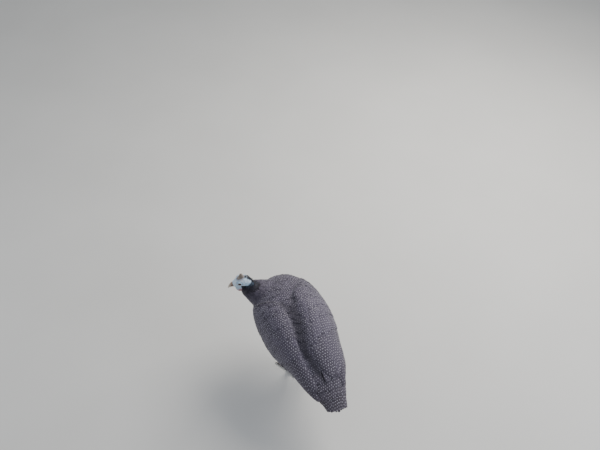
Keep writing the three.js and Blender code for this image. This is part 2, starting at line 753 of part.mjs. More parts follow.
// Nodes
const torsoPart = keep(wholeBody, vec(0, tailCut, 0), vec(0, -1, 0));
const neckStump = keep(wholeNeck, neckBase.point, reversed(neckBase.way));
addNode("torso", torsoPart.add(neckStump), "plumage");
const neckPart = keep(keep(wholeNeck, beyond(neckBase), neckBase.way), neckTop.point, reversed(neckTop.way));
addNode("neck", neckPart.subtract(bodyClearance), "neckPlumage");
addNode("head", headSolid, "bareSkin");
addNode("bill_upper", upperBillSolid(), "bill");
addNode("bill_lower", lowerBillSolid, "bill");
addNode("casque", casqueSolid(), "horn");
for (const [side, word] of [
  [1, "left"],
  [-1, "right"],
]) {
  addNode(`eye_${word}`, eyeBall(side, 0), "eye");
  addNode(`wattle_${word}`, wattleSolid(side), "wattle");
  wing(side, `wing_${word}`);
  leg(side, word);
}
addNode("tail", fuse([tailCoreSolid(), ...tailFeathers()]), "plumage");

// The origin is the middle of the bounding box, at floor level
const box = new THREE.Box3().setFromObject(root);
const middle = box.getCenter(new THREE.Vector3());
root.position.set(-middle.x, -middle.y, -box.min.z);
root.updateMatrixWorld(true);

export default root;
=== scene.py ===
import math
from bisect import bisect_right
from functools import partial
from itertools import product

import bpy
import numpy as np
from mathutils import Matrix, Vector
from mathutils.bvhtree import BVHTree


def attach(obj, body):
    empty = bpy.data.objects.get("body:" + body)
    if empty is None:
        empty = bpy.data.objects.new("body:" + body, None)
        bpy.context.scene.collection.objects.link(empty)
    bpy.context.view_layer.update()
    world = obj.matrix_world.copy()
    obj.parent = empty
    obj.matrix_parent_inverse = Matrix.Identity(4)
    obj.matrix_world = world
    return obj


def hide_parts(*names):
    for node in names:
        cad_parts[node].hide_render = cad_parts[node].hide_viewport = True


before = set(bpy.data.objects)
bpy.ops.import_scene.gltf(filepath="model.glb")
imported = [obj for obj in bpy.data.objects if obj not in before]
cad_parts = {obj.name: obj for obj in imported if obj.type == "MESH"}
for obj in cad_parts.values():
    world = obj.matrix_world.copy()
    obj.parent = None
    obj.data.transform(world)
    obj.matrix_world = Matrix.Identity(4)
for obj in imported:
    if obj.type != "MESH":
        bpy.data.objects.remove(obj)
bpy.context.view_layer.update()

# A pearl guinea fowl at life size. Lengths in the settings are millimetres in the bird's own layout:
# it faces -Y, its left side is +X and the floor is z = 0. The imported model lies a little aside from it.
mm = 0.001
aside = Vector((-8.67, -23.32, 0.0))
draw = np.random.default_rng(1603)

bird = {
    "roll": math.radians(7),  # the body leans to its left about its own middle line
    "tailSway": 13,
    "tailSkew": 7,  # the fan turns a little to the left, so its right feathers end farther back
    "skullPlace": Vector((79.5, -141, 310)),
    "skullTurn": math.radians(70),
    "skullNod": math.radians(17),
    "strideOffset": 7,
    # distance from the middle, height of the widest level, half width, rise to the back, drop to the belly
    "bodyStations": [
        (-158, 228, 0, 0, 0), (-132, 228, 57, 42, 52), (-95, 223, 77, 66, 76), (-50, 214, 88, 84, 88),
        (-5, 205, 90, 89, 87), (40, 198, 83, 80, 74), (85, 190, 68, 61, 52), (120, 179, 49, 42, 32),
        (150, 164, 31, 25, 18), (175, 148, 0, 0, 0),
    ],
    "cloakRear": [
        (120, 179, 60, 46, 36), (150, 165, 50, 35, 27), (180, 147, 37, 27, 20), (208, 126, 27, 18, 14),
    ],
    # the groove between the wings bears to the left behind: degrees from the midline by distance from it
    "grooveLine": [
        (-60, 0), (-30, 1), (12, 4.5), (34, 9), (63, 17), (90, 22), (120, 21), (150, 16), (180, 10),
    ],
    # the cloak swells along both sides of the groove: height by distance, share by degrees from the groove
    "swell": [(-100, 0), (-70, 3), (-20, 7), (50, 7.5), (90, 5), (120, 1.5), (140, 0)],
    "swellShare": [(0, 0), (7, 0.04), (24, 1), (40, 0.75), (62, 0.2), (85, 0), (180, 0)],
    # borders of the folded wing by distance from the middle: the upper one in degrees from the groove
    "wingUpper": [
        (-104, 74), (-85, 47), (-62, 22), (-42, 10), (-10, 7.5), (40, 7.5), (85, 11.5), (120, 18), (150, 24),
        (180, 30),
    ],
    "wingLower": [(-104, 88), (-85, 103), (-50, 110), (0, 110), (50, 106), (90, 102), (130, 97), (180, 88)],
}


# Helpers


def smoothThrough(stations, column, power=1):
    # a smooth curve through stations that never overshoots them
    xs = [s[0] for s in stations]
    ys = [s[column] ** power for s in stations]
    slopes = [(ys[i + 1] - ys[i]) / (xs[i + 1] - xs[i]) for i in range(len(xs) - 1)]
    inner = [0 if a * b <= 0 else 2 * a * b / (a + b) for a, b in zip(slopes, slopes[1:])]
    tangents = [slopes[0], *inner, slopes[-1]]

    def valueAt(x):
        x = min(max(x, xs[0]), xs[-1])
        i = min(bisect_right(xs, x), len(xs) - 1) - 1
        span = xs[i + 1] - xs[i]
        t = (x - xs[i]) / span
        value = (2 * t ** 3 - 3 * t ** 2 + 1) * ys[i] + (t ** 3 - 2 * t ** 2 + t) * span * tangents[i]
        value += (3 * t ** 2 - 2 * t ** 3) * ys[i + 1] + (t ** 3 - t ** 2) * span * tangents[i + 1]
        return value if power == 1 else max(0, value) ** (1 / power)

    return valueAt


def formOf(stations):
    columns = {"level": (1, 1), "half": (2, 2), "rise": (3, 2), "drop": (4, 2)}
    return {name: smoothThrough(stations, *column) for name, column in columns.items()}


def formPoint(form, y, angle, height=0.0, squareness=2.15):
    # angle goes round from the top, to the left first
    c, s, bend = math.cos(angle), math.sin(angle), 2 / squareness
    across = (form["half"](y) + height) * math.copysign(abs(s) ** bend, s)
    upward = (form["rise"](y) if c > 0 else form["drop"](y)) + height
    return Vector((across, y, form["level"](y) + upward * math.copysign(abs(c) ** bend, c)))


def formRing(form, y, around, squareness=2.15):
    return [formPoint(form, y, 2 * math.pi * k / around, 0, squareness) for k in range(around)]


bodyForm = formOf(bird["bodyStations"])
cloakStations = bird["bodyStations"][1:7] + bird["cloakRear"]
cloakForm = formOf(cloakStations)
middleLine = smoothThrough([bird["bodyStations"][0]] + cloakStations, 1)
upperEdge, lowerEdge, swell, swellShare, grooveAngle = (
    smoothThrough(bird[key], 1) for key in ("wingUpper", "wingLower", "swell", "swellShare", "grooveLine"))


def cloakPoint(y, angle, height=0.0):
    turn = angle - math.radians(grooveAngle(y))
    away = abs(math.degrees(math.atan2(math.sin(turn), math.cos(turn))))
    return formPoint(cloakForm, y, angle, height + swell(y) * swellShare(away))


def wingAngle(side, y, share):
    # way round from the midline, at a share of the way down a folded wing
    return math.radians(blend(upperEdge(y) + side * grooveAngle(y), lowerEdge(y), share))


def leaned(p):
    c, s, level = math.cos(bird["roll"]), math.sin(bird["roll"]), middleLine(p.y)
    x, z = p.x, p.z - level
    sway = bird["tailSway"] * max(0, (p.y - 10) / 195) ** 2
    return Vector((x * c + z * s + sway, p.y, level - x * s + z * c))


def anglesRound(points):
    # degrees round the leaning body from the middle of the back, to the left first
    c, s = math.cos(bird["roll"]), math.sin(bird["roll"])
    grid = np.arange(-200, 240, 2.0)
    levels = np.interp(points[:, 1], grid, [middleLine(y) for y in grid])
    x = points[:, 0] - bird["tailSway"] * np.maximum(0, (points[:, 1] - 10) / 195) ** 2
    z = points[:, 2] - levels
    return np.degrees(np.arctan2(x * c - z * s, x * s + z * c))


def inFrame(p):
    return (p + aside) * mm


def inLayout(p):
    return p / mm - aside


headPlace = (
    Matrix.Translation(bird["skullPlace"])
    @ Matrix.Rotation(bird["skullTurn"], 4, "Z")
    @ Matrix.Rotation(bird["skullNod"], 4, "X")
)


def fromHead(x, y, z):
    return headPlace @ Vector((x, y, z))


def headLocal(points):
    return (points - np.array(bird["skullPlace"])) @ np.array(headPlace.inverted().to_3x3()).T


def ease(value, low, high):
    t = np.clip((value - low) / (high - low), 0, 1)
    return t * t * (3 - 2 * t)


def hump(value, width, middle=0.0):
    # 1 at the middle, and less and less to both sides
    return np.exp(-((value - middle) / width) ** 2)


def gapTo(points, place, sizes):
    # how far points lie from a place, in sizes of its own along each way
    return np.linalg.norm((points - place) / sizes, axis=1)


def blend(a, b, t):
    return a + (b - a) * t


def only(*things):
    bpy.ops.object.select_all(action="DESELECT")
    for thing in things:
        thing.select_set(True)
    bpy.context.view_layer.objects.active = things[0]


def finishWith(thing, kind, **settings):
    only(thing)
    modifier = thing.modifiers.new(kind.lower(), kind)
    for key, value in settings.items():
        setattr(modifier, key, value)
    bpy.ops.object.modifier_apply(modifier=modifier.name)


def workAll(thing, operate, **settings):
    # one operator on the whole mesh in edit mode
    only(thing)
    bpy.ops.object.mode_set(mode="EDIT")
    bpy.ops.mesh.select_all(action="SELECT")
    operate(**settings)
    bpy.ops.object.mode_set(mode="OBJECT")
    return thing


def newThing(name, mesh):
    thing = bpy.data.objects.new(name, mesh)
    bpy.context.collection.objects.link(thing)
    return thing


def meshThing(name, points, faces):
    mesh = bpy.data.meshes.new(name)
    mesh.from_pydata([tuple(p) for p in points], [], faces)
    return newThing(name, mesh)


def loft(name, rings):
    # closed rings from end to end; an end ring of one point closes like a cone
    points, starts, faces = [], [], []
    for ring in rings:
        starts.append(len(points))
        points += [inFrame(p) for p in ring]
    sizes = [len(ring) for ring in rings]
    for a, b, m, n in zip(starts, starts[1:], sizes, sizes[1:]):
        for k in range(max(m, n)):
            corners = (a + k % m, b + k % n, b + (k + 1) % n, a + (k + 1) % m)
            faces.append(tuple(dict.fromkeys(corners)))
    if sizes[0] > 1:
        faces.append(tuple(range(sizes[0])))
    if sizes[-1] > 1:
        faces.append(tuple(reversed(range(starts[-1], len(points)))))
    return workAll(meshThing(name, points, faces), bpy.ops.mesh.normals_make_consistent, inside=False)


def copyOf(nodeName, name):
    # a node's mesh is loose triangles, so its copy is merged
    thing = newThing(name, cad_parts[nodeName].data.copy())
    thing.data.materials.clear()
    return workAll(thing, bpy.ops.mesh.remove_doubles, threshold=0.01 * mm)


def joined(name, things):
    only(*things)
    bpy.ops.object.join()
    things[0].name = name
    things[0].data.name = name
    return things[0]


def remeshed(thing, voxel, smoothing):
    finishWith(thing, "REMESH", mode="VOXEL", voxel_size=voxel * mm)
    finishWith(thing, "SMOOTH", factor=0.5, iterations=smoothing)


def vertexValues(thing, key):
    flat = np.empty(len(thing.data.vertices) * 3)
    thing.data.vertices.foreach_get(key, flat)
    return flat.reshape(-1, 3)


def pointsOf(thing):
    return vertexValues(thing, "co") / mm - np.array(aside)


def movePoints(thing, points):
    thing.data.vertices.foreach_set("co", ((points + np.array(aside)) * mm).ravel())
    thing.data.update()


def pushOut(thing, lift):
    # every point goes out along its normal
    movePoints(thing, pointsOf(thing) + vertexValues(thing, "normal") * lift[:, None])


def hexColour(code):
    values = [int(code[i:i + 2], 16) / 255 for i in (1, 3, 5)]
    return [v / 12.92 if v <= 0.04045 else ((v + 0.055) / 1.055) ** 2.4 for v in values] + [1.0]


def addNode(tree, kind, inputs=(), out=0, stops=(), **settings):
    # one node: its inputs are values, hex colours or what feeds them, and stops are the colours of a ramp
    node = tree.nodes.new("ShaderNode" + kind)
    for key, value in settings.items():
        setattr(node, key, value)
    for key, value in inputs.items() if isinstance(inputs, dict) else enumerate(inputs):
        if hasattr(value, "is_output"):
            tree.links.new(value, node.inputs[key])
        else:
            node.inputs[key].default_value = hexColour(value) if isinstance(value, str) else value
    while stops and len(node.color_ramp.elements) < len(stops):
        node.color_ramp.elements.new(0.5)
    for i, (place, code) in enumerate(stops):
        node.color_ramp.elements[i].position = place
        node.color_ramp.elements[i].color = hexColour(code)
    return node.outputs[out]


def newMaterial(name, **sockets):
    # gives the material, what adds a node to it, and the place of a point on the object
    material = bpy.data.materials.new(name)
    material.use_nodes = True
    for key, value in sockets.items():
        material.node_tree.nodes["Principled BSDF"].inputs[key.replace("_", " ")].default_value = value
    add = partial(addNode, material.node_tree)
    return material, add, add("TexCoord", out="Object")


def layered(add, colour, *layers):
    # colours laid one over another, each with where it lies and the most of it that shows
    for share, most, tone in layers:
        share = add("Math", [share, most], operation="MULTIPLY")
        colour = add("Mix", {0: share, 6: colour, 7: tone}, out=2, data_type="RGBA")
    return colour


def finished(material, colour, relief=None, strength=0.0, depth=0.0):
    # the colour and the relief of a finish, with its depth in millimetres
    tree = material.node_tree
    shader = tree.nodes["Principled BSDF"]
    tree.links.new(colour, shader.inputs["Base Color"])
    if relief:
        bump = addNode(tree, "Bump", {"Strength": strength, "Distance": depth * mm, "Height": relief})
        tree.links.new(bump, shader.inputs["Normal"])
    return material


def setMaterial(thing, *materials):
    thing.data.materials.clear()
    for material in materials:
        thing.data.materials.append(material)


# Materials

# the last mark is painted shade in the groove between the wings; the others are the plumage's own colours
markNames = ("tint", "pearl", "collar", "worn", "paintedGrooveShade")
pearls = {"rowStep": 5.0, "columnStep": 5.6, "soft": 0.3, "radius": 0.92, "rowShift": 8.5, "wobble": 1.1}
barbs = {"step": 0.7, "slant": -1.2}  # drawn twice as coarse as real ones


def pearlPattern(add, across, along, radius):
    # round pale spots in rows, each row half a step aside from the last: 1 in a spot, 1 outside its dark ring
    rowPlace = add("Math", [along, pearls["rowStep"]], operation="DIVIDE")
    row = add("Math", [rowPlace], operation="FLOOR")
    offset = add("Math", [row, 2], operation="MODULO")
    columnPlace = add("Math", [across, pearls["columnStep"]], operation="DIVIDE")
    columnPlace = add("Math", [offset, 0.5, columnPlace], operation="MULTIPLY_ADD")
    columnPlace = add("Math", [columnPlace, 40], operation="ADD")  # counted from far on one side
    squares = 0
    for place, step in ((rowPlace, pearls["rowStep"]), (columnPlace, pearls["columnStep"])):
        rest = add("Math", [place], operation="FRACT")
        rest = add("Math", [rest, step, -0.5 * step], operation="MULTIPLY_ADD")
        squares = add("Math", [rest, rest, squares], operation="MULTIPLY_ADD")
    overRim = add("Math", [squares], operation="SQRT")
    overRim = add("Math", [overRim, radius], operation="SUBTRACT")
    steps = [{"Value": overRim, "From Min": low, "From Max": high}
             for low, high in ((pearls["soft"], -pearls["soft"]), (0.35, 1.1))]
    return [add("MapRange", step, interpolation_type="SMOOTHSTEP") for step in steps]


def plumageMaterial(name, shafted=False):
    # keratin vanes: matt, slate grey, with a faint silky run along the barbs and round white pearls
    material, add, coords = newMaterial(name, Roughness=0.68, IOR=1.5, Sheen_Weight=0.12, Sheen_Roughness=0.5,
                                        Specular_IOR_Level=0.3)
    vane = add("UVMap", uv_map="vane")
    across, along = (add("SeparateXYZ", [vane], out=way) for way in "XY")
    tint, pearl, collar, worn, paintedGrooveShade = (add("Attribute", out="Fac", attribute_name=n) for n in markNames)
    # no two feathers begin their rows at the same place
    shifted = add("Math", [tint, pearls["rowShift"], along], operation="MULTIPLY_ADD")
    slid = add("Math", [tint, 7.7], operation="MULTIPLY")
    slid = add("Math", [slid], operation="FRACT")
    slid = add("Math", [slid, 0.5], operation="SUBTRACT")
    slid = add("Math", [slid, 2.0, across], operation="MULTIPLY_ADD")
    wobble = add("TexNoise", {"Vector": vane, "Scale": 0.45, "Detail": 1.0})
    radius = add("Math", [wobble, pearls["wobble"], -0.5 * pearls["wobble"]], operation="MULTIPLY_ADD")
    radius = add("Math", [tint, -0.12, radius], operation="MULTIPLY_ADD")
    radius = add("Math", [pearl, radius], operation="ADD")
    spot, ground = pearlPattern(add, slid, shifted, radius)
    pearled = add("Math", [0.2, pearl], operation="LESS_THAN")
    spot = add("Math", [spot, pearled], operation="MULTIPLY")
    # vermiculation: broken pale lines finer than the spots, drawn a little coarse so that they show
    lines = add("TexNoise", {"Vector": vane, "Scale": 1.7, "Detail": 3.0, "Roughness": 0.6})
    fine = add("MapRange", {"Value": lines, "From Min": 0.45, "From Max": 0.62})
    between = add("Math", [ground, fine], operation="MULTIPLY")
    paler = layered(add, "#68626f", (tint, 1, "#7a7384"))
    plum = layered(add, "#1f1d26", (fine, 0.5, "#3f3a46"))
    # the last layer is painted shade, dark in the groove between the wings and where the wing tips part
    colour = layered(add, "#3f3b48", (tint, 1, "#4d4857"), (between, 0.75, paler), (collar, 1, plum),
                     (worn, 0.55, "#413a3e"), (spot, 1, "#b6b3be"), (paintedGrooveShade, 0.75, "#25242d"))
    fromShaft = add("Math", [across], operation="ABSOLUTE")
    if shafted:  # the shaft shows as a thin dark line down the middle of the larger feathers
        shaft = add("MapRange", {"Value": fromShaft, "From Min": 0.5, "From Max": 0.2})
        colour = layered(add, colour, (shaft, 0.5, "#232228"))
    # barbs run slantwise from the shaft
    slope = add("Math", [fromShaft, barbs["slant"], along], operation="MULTIPLY_ADD")
    slope = add("Math", [slope, 2 * math.pi / barbs["step"]], operation="MULTIPLY")
    return finished(material, colour, add("Math", [slope], operation="SINE"), 0.12, 0.12)


def underSkin():
    # under the coat: dull skin with the same slate, plum and pearls as the feathers over it, and the same
    # painted shade in the groove between the wings
    material, add, coords = newMaterial("downySkin", Roughness=0.85, IOR=1.45)
    marks = ("pearl", "collar", "paintedGrooveShade")
    pearl, collar, paintedGrooveShade = (add("Attribute", out="Fac", attribute_name=n) for n in marks)
    flecks = add("TexVoronoi", {"Vector": coords, "Scale": 1 / (5.4 * mm), "Randomness": 0.3})
    near = add("MapRange", {"Value": flecks, "From Min": 0.2, "From Max": 0.15})
    near = add("Math", [near, add("Math", [0.2, pearl], operation="LESS_THAN")], operation="MULTIPLY")
    cloud = add("TexNoise", {"Vector": coords, "Scale": 1 / (3 * mm), "Detail": 4.0})
    # the last layer is painted shade in the groove between the wings
    return finished(material, layered(add, "#393541", (cloud, 1, "#5e5866"), (collar, 1, "#1f1d26"),
                                      (near, 1, "#b2afb9"), (paintedGrooveShade, 0.72, "#24242c")))


def faceSkin():
    # thin waxy skin, chalky blue-white over the cheeks and bluer about the eye and throat
    material, add, coords = newMaterial("bareFaceSkin", Roughness=0.5, IOR=1.42, Subsurface_Weight=0.12,
                                        Subsurface_Radius=(0.0012, 0.0008, 0.0008), Subsurface_Scale=1.0)
    blue, crown, nape = (add("Attribute", out="Fac", attribute_name=n) for n in ("blue", "crown", "nape"))
    cloud = add("TexNoise", {"Vector": coords, "Scale": 1 / (8 * mm), "Detail": 4.0})
    mottled = add("ValToRGB", [cloud], stops=[(0.3, "#abcde8"), (0.52, "#d8ebfb"), (0.72, "#f4faff")])
    veins = add("TexNoise", {"Vector": coords, "Scale": 1 / (1.6 * mm), "Detail": 2.0})
    dirt = add("MapRange", {"Value": veins, "From Min": 0.56, "From Max": 0.7})
    colour = layered(add, mottled, (blue, 1, "#739cbb"), (crown, 1, "#8a8494"), (nape, 1, "#2b303d"),
                     (dirt, 0.22, "#4f5c6b"))
    grains = add("TexVoronoi", {"Vector": coords, "Scale": 1 / (0.9 * mm)})  # papillae
    creases = add("TexNoise", {"Vector": coords, "Scale": 1 / (1.8 * mm), "Detail": 5.0})
    return finished(material, colour, add("Math", [grains, 0.5, creases], operation="MULTIPLY_ADD"), 0.6, 0.5)


def legSkinMaterial():
    # dry horny scutes, grey-brown, worn paler on their edges
    material, add, coords = newMaterial("scutedLegSkin", Roughness=0.5, IOR=1.5)
    cloud = add("TexNoise", {"Vector": coords, "Scale": 1 / (7 * mm), "Detail": 4.0})
    horny = add("ValToRGB", [cloud], stops=[(0.3, "#4a4540"), (0.55, "#6b645b"), (0.75, "#857b6d")])
    groove = add("Attribute", out="Fac", attribute_name="groove")
    scales = add("TexVoronoi", {"Vector": coords, "Scale": 1 / (1.5 * mm)})
    return finished(material, layered(add, horny, (groove, 1, "#26221f")), scales, 0.35, 0.3)


def hornMaterial(name, roughness, stops, grain):
    # keratin horn: layered growth lines, a dull polish and darker colour where the relief is low
    material, add, coords = newMaterial(name, Roughness=roughness, IOR=1.54)
    stretched = add("Mapping", {"Vector": coords, "Scale": (1, 1, 0.35)})
    cloud = add("TexNoise", {"Vector": stretched, "Scale": 1 / (grain * mm), "Detail": 5.0, "Roughness": 0.6})
    return finished(material, add("ValToRGB", [cloud], stops=stops), cloud, 0.4, 0.3)


def billMaterial():
    # horn over a rusty base, paling to yellowish grey at the tip, with fine growth lines and painted shade in
    # the nostrils and along the seam of the closed bill
    material, add, coords = newMaterial("billHorn", Roughness=0.4, IOR=1.54)
    tip, pit = (add("Attribute", out="Fac", attribute_name=name) for name in ("tip", "pit"))
    cloud = add("TexNoise", {"Vector": coords, "Scale": 1 / (5 * mm), "Detail": 4.0})
    along = add("Math", [cloud, 0.3, tip], operation="MULTIPLY_ADD")
    stops = [(0.12, "#87655b"), (0.42, "#a3907f"), (0.75, "#bbae9e"), (1.0, "#d0c7b8")]
    horny = add("ValToRGB", [along], stops=stops)
    growth = add("Math", [tip, 70], operation="MULTIPLY")
    growth = add("Math", [growth], operation="SINE")
    relief = add("Math", [growth, 0.03, cloud], operation="MULTIPLY_ADD")
    # painted shade, dark in the nostrils and along the seam where the halves meet
    return finished(material, layered(add, horny, (pit, 1, "#2b2220")), relief, 0.3, 0.3)


def wattleMaterial():
    # soft bare skin full of blood: pale blue at the root, dull pink and red towards the rim
    material, add, coords = newMaterial("wattleSkin", Roughness=0.5, IOR=1.42, Subsurface_Weight=0.2,
                                        Subsurface_Radius=(0.0012, 0.0006, 0.0005), Subsurface_Scale=1.0)
    cloud = add("TexNoise", {"Vector": coords, "Scale": 1 / (4 * mm), "Detail": 3.0})
    tip = add("Attribute", out="Fac", attribute_name="tip")
    down = add("Math", [cloud, 0.4, tip], operation="MULTIPLY_ADD")
    stops = [(0.4, "#b4cddd"), (0.75, "#b3aab8"), (0.95, "#a27a80"), (1.0, "#94595c")]
    grains = add("TexVoronoi", {"Vector": coords, "Scale": 1 / (0.8 * mm)})
    return finished(material, add("ValToRGB", [down], stops=stops), grains, 0.5, 0.3)


def eyeMaterial():
    # wet cornea over a dark brown iris and a black pupil
    material, add, coords = newMaterial("wetEye", Roughness=0.05, IOR=1.38, Coat_Weight=1.0,
                                        Coat_Roughness=0.02)
    gaze = add("Attribute", out="Fac", attribute_name="gaze")
    rays = add("TexNoise", {"Vector": coords, "Scale": 1 / (1.2 * mm), "Detail": 3.0})
    place = add("Math", [rays, 0.04, gaze], operation="MULTIPLY_ADD")
    stops = [(0.145, "#060505"), (0.16, "#5b3a22"), (0.25, "#3a2416"), (0.3, "#0c0908")]
    return finished(material, add("ValToRGB", [place], stops=stops))


def bristleMaterial():
    # black hair-like feathers with a dull gloss
    material, add, coords = newMaterial("bristleKeratin", Roughness=0.45, IOR=1.5)
    cloud = add("TexNoise", {"Vector": coords, "Scale": 1 / (4 * mm), "Detail": 2.0})
    return finished(material, add("ValToRGB", [cloud], stops=[(0.3, "#0d0c0e"), (0.7, "#2c2a2f")]))


print("materials")
slatePlumage = plumageMaterial("slatePlumage")
flightPlumage = plumageMaterial("flightPlumage", shafted=True)
casqueHorn = hornMaterial("casqueHorn", 0.55, [(0.32, "#6f655c"), (0.5, "#8d8278"), (0.7, "#a99e92")], 5)
clawHorn = hornMaterial("clawHorn", 0.4, [(0.3, "#1f1c19"), (0.6, "#3b352e"), (0.85, "#5a5146")], 3)


# The bird's axis: from the skull down the neck and back through the body, with the way that feathers lie

neckStops = [
    (69, -138, 277), (49, -129, 253), (23, -107, 234), (8, -66, 218), (1, -10, 206), (0, 40, 198),
    (2, 85, 190), (4, 120, 179), (6, 150, 164), (9, 190, 142),
]
axisStops = [fromHead(0, 4, -2), fromHead(0, 9, -9), fromHead(0, 13, -20)] + [Vector(p) for p in neckStops]
axisRadii = [10, 11.6, 13, 19.5, 35, 50, 70, 88, 80, 62, 44, 26, 20]


def axisSamples(stops, radii, step=4.0):
    points, tangents, sizes = [], [], []
    for a, b, ra, rb in zip(stops, stops[1:], radii, radii[1:]):
        count = max(1, round((b - a).length / step))
        for k in range(count):
            points.append(a.lerp(b, k / count))
            tangents.append((b - a).normalized())
            sizes.append(blend(ra, rb, k / count))
    return np.array(points), np.array(tangents), np.array(sizes)


axisPoints, axisTangents, axisSizes = axisSamples(axisStops, axisRadii)
axisLengths = np.concatenate([[0], np.cumsum(np.linalg.norm(np.diff(axisPoints, axis=0), axis=1))])


def legPlace(side, p):
    return Vector((side * p[0], p[1] - side * bird["strideOffset"] * (1 - p[2] / 150), p[2]))


legStops = {
    "thigh": [((34, -18, 168), 34), ((38, -6, 140), 29), ((35, 14, 117), 17.5), ((28, 30, 99), 9)],
    "shank": [(28, 30, 99), (27, 33, 93), (26.8, 28, 81), (26.3, 18, 55), (25.5, 3, 17)],
    "foot": (25.5, -1),
}
thighs = {}
for side in (1, -1):
    stops = [legPlace(side, p) for p, radius in legStops["thigh"]]
    thighs[side] = axisSamples(stops, [radius for p, radius in legStops["thigh"]])


def squaredGaps(points, stops):
    # from each point to each stop of a line
    return (points ** 2).sum(axis=1)[:, None] + (stops ** 2).sum(axis=1)[None, :] - 2 * points @ stops.T


def alongAxis(points):
    # distance down the bird's axis from the skull, for many points
    nearest = squaredGaps(points, axisPoints).argmin(axis=1)
    beyond = ((points - axisPoints[nearest]) * axisTangents[nearest]).sum(axis=1)
    return axisLengths[nearest] + np.clip(beyond, -4, 4)


def thighShares(points):
    # 1 well on a thigh and 0 away from it, and the thigh's own way down
    best, ways = np.zeros(len(points)), np.zeros((len(points), 3))
    for stops, tangents, sizes in thighs.values():
        gaps = np.sqrt(np.maximum(0, squaredGaps(points, stops)))
        nearest = gaps.argmin(axis=1)
        share = ease(-gaps.min(axis=1) / sizes[nearest], -1.45, -1.05) * ease(-points[:, 2], -162, -146)
        better = share > best
        best[better], ways[better] = share[better], tangents[nearest][better]
    return best, ways


def flowsAt(points):
    # the way the coat lies at points of the layout
    gaps = squaredGaps(points, axisPoints)
    weights = np.exp((gaps.min(axis=1)[:, None] - gaps) / 34.0 ** 2)
    ways = weights @ axisTangents
    ways /= np.linalg.norm(ways, axis=1)[:, None]
    shares, thighWays = thighShares(points)
    return ways * (1 - shares[:, None]) + (thighWays + np.array([0, 0.35, 0])) * shares[:, None]


borderGrid = np.arange(-106, 186, 2.0)
borders = [np.array([edge(y) for y in borderGrid]) for edge in (upperEdge, lowerEdge, grooveAngle)]


def fromGroove(points):
    # degrees from the groove, to the left first, and what borders the wing there
    upper, lower, groove = (np.interp(points[:, 1], borderGrid, border) for border in borders)
    away = anglesRound(points) - groove
    away = np.where(away < -180, away + 360, away)
    side = np.where(away > 0, 1, -1)
    return away, upper, lower - side * groove


def wingShares(points):
    # how far down the folded wing points lie: 0 at its upper border, 1 at its lower one, -1 off its ends
    away, upper, lower = fromGroove(points)
    y = points[:, 1]
    return np.where((y > -104) & (y < 182), (np.abs(away) - upper) / (lower - upper), -1.0)


def markingsAt(s):
    # radius of the pearls and strength of the plain collar, by distance down the axis
    return pearls["radius"] * ease(s, 42, 78), 1 - ease(s, 28, 56)


def paintedGrooveShadeAt(points):
    # painted shade: 1 in the groove between the wings, which forks in front along their upper borders
    away, upper, lower = fromGroove(points)
    y = points[:, 1]
    valley = (1 - ease(np.abs(away), 3, 14)) * ease(y, -50, -10)
    fork = 0.7 * hump(np.abs(away), 4.5, upper) * ease(y, -58, -40) * (1 - ease(y, -35, 0))
    hollow = 0.33 * np.exp(-((y - 84) / 7) ** 2 - ((away - 6) / 5) ** 2)  # painted shadow in the gap where the wing tips part
    return (np.maximum(valley, fork) * (1 - ease(y, 135, 170)) + hollow) * (points[:, 2] > 200 - y)


# Skin

skinCut = {
    "bodyVoxel": 3.0, "headVoxel": 0.75, "legVoxel": 0.8, "bodySmoothing": 10, "headSmoothing": 7,
    "legSmoothing": 6, "throatSmoothing": 140,
    "coatDepth": 3.2, "neckDepth": 0.8, "shinDepth": 1.2,
}


def wingCore(side):
    thickness = smoothThrough(
        [(-104, 0.2), (-92, 2.2), (-55, 2.8), (-22, 2.2), (22, 1.6), (66, 0.9), (110, 0.2)], 1)
    rings = []
    for y in (-103, -96, -80, -54, -22, 0, 22, 44, 66, 88, 110):
        top, under = [], []
        for i in range(11):
            v = i / 10
            edge = math.sin(math.pi * min(max(v, 0.07), 0.93)) ** 0.5
            angle = side * wingAngle(side, y, v)
            top.append(leaned(cloakPoint(y, angle, 0.6 + thickness(y) * edge)))
            under.append(leaned(formPoint(cloakForm, y, angle, -6)))
        rings.append(top + under[::-1])
    return loft("wingCore", rings)


def bodySkin():
    rings = [[leaned(p) for p in formRing(bodyForm, y, 40)] for y in np.linspace(90, 174, 15)]
    parts = [copyOf(n, n + "Flesh") for n in ("torso", "neck", "thigh_left", "thigh_right")]
    skin = joined("bodySkin", parts + [loft("tailCore", rings), wingCore(1), wingCore(-1)])
    remeshed(skin, skinCut["bodyVoxel"], skinCut["bodySmoothing"])
    points = pointsOf(skin)
    depth = blend(skinCut["neckDepth"], skinCut["coatDepth"], ease(alongAxis(points), 30, 100))
    shares, height = wingShares(points), points[:, 2]
    onWing = (shares > 0) & (height > 120)
    cover = ease(shares, 0, 0.06) * (1 - ease(shares, 0.94, 1))
    depth = np.where(onWing, depth * (1 - 0.75 * cover), depth)
    lowDepth = blend(skinCut["shinDepth"], depth, ease(height, 100, 140))
    pushOut(skin, -np.where(~onWing & (height < 150), lowDepth, depth))
    return skin


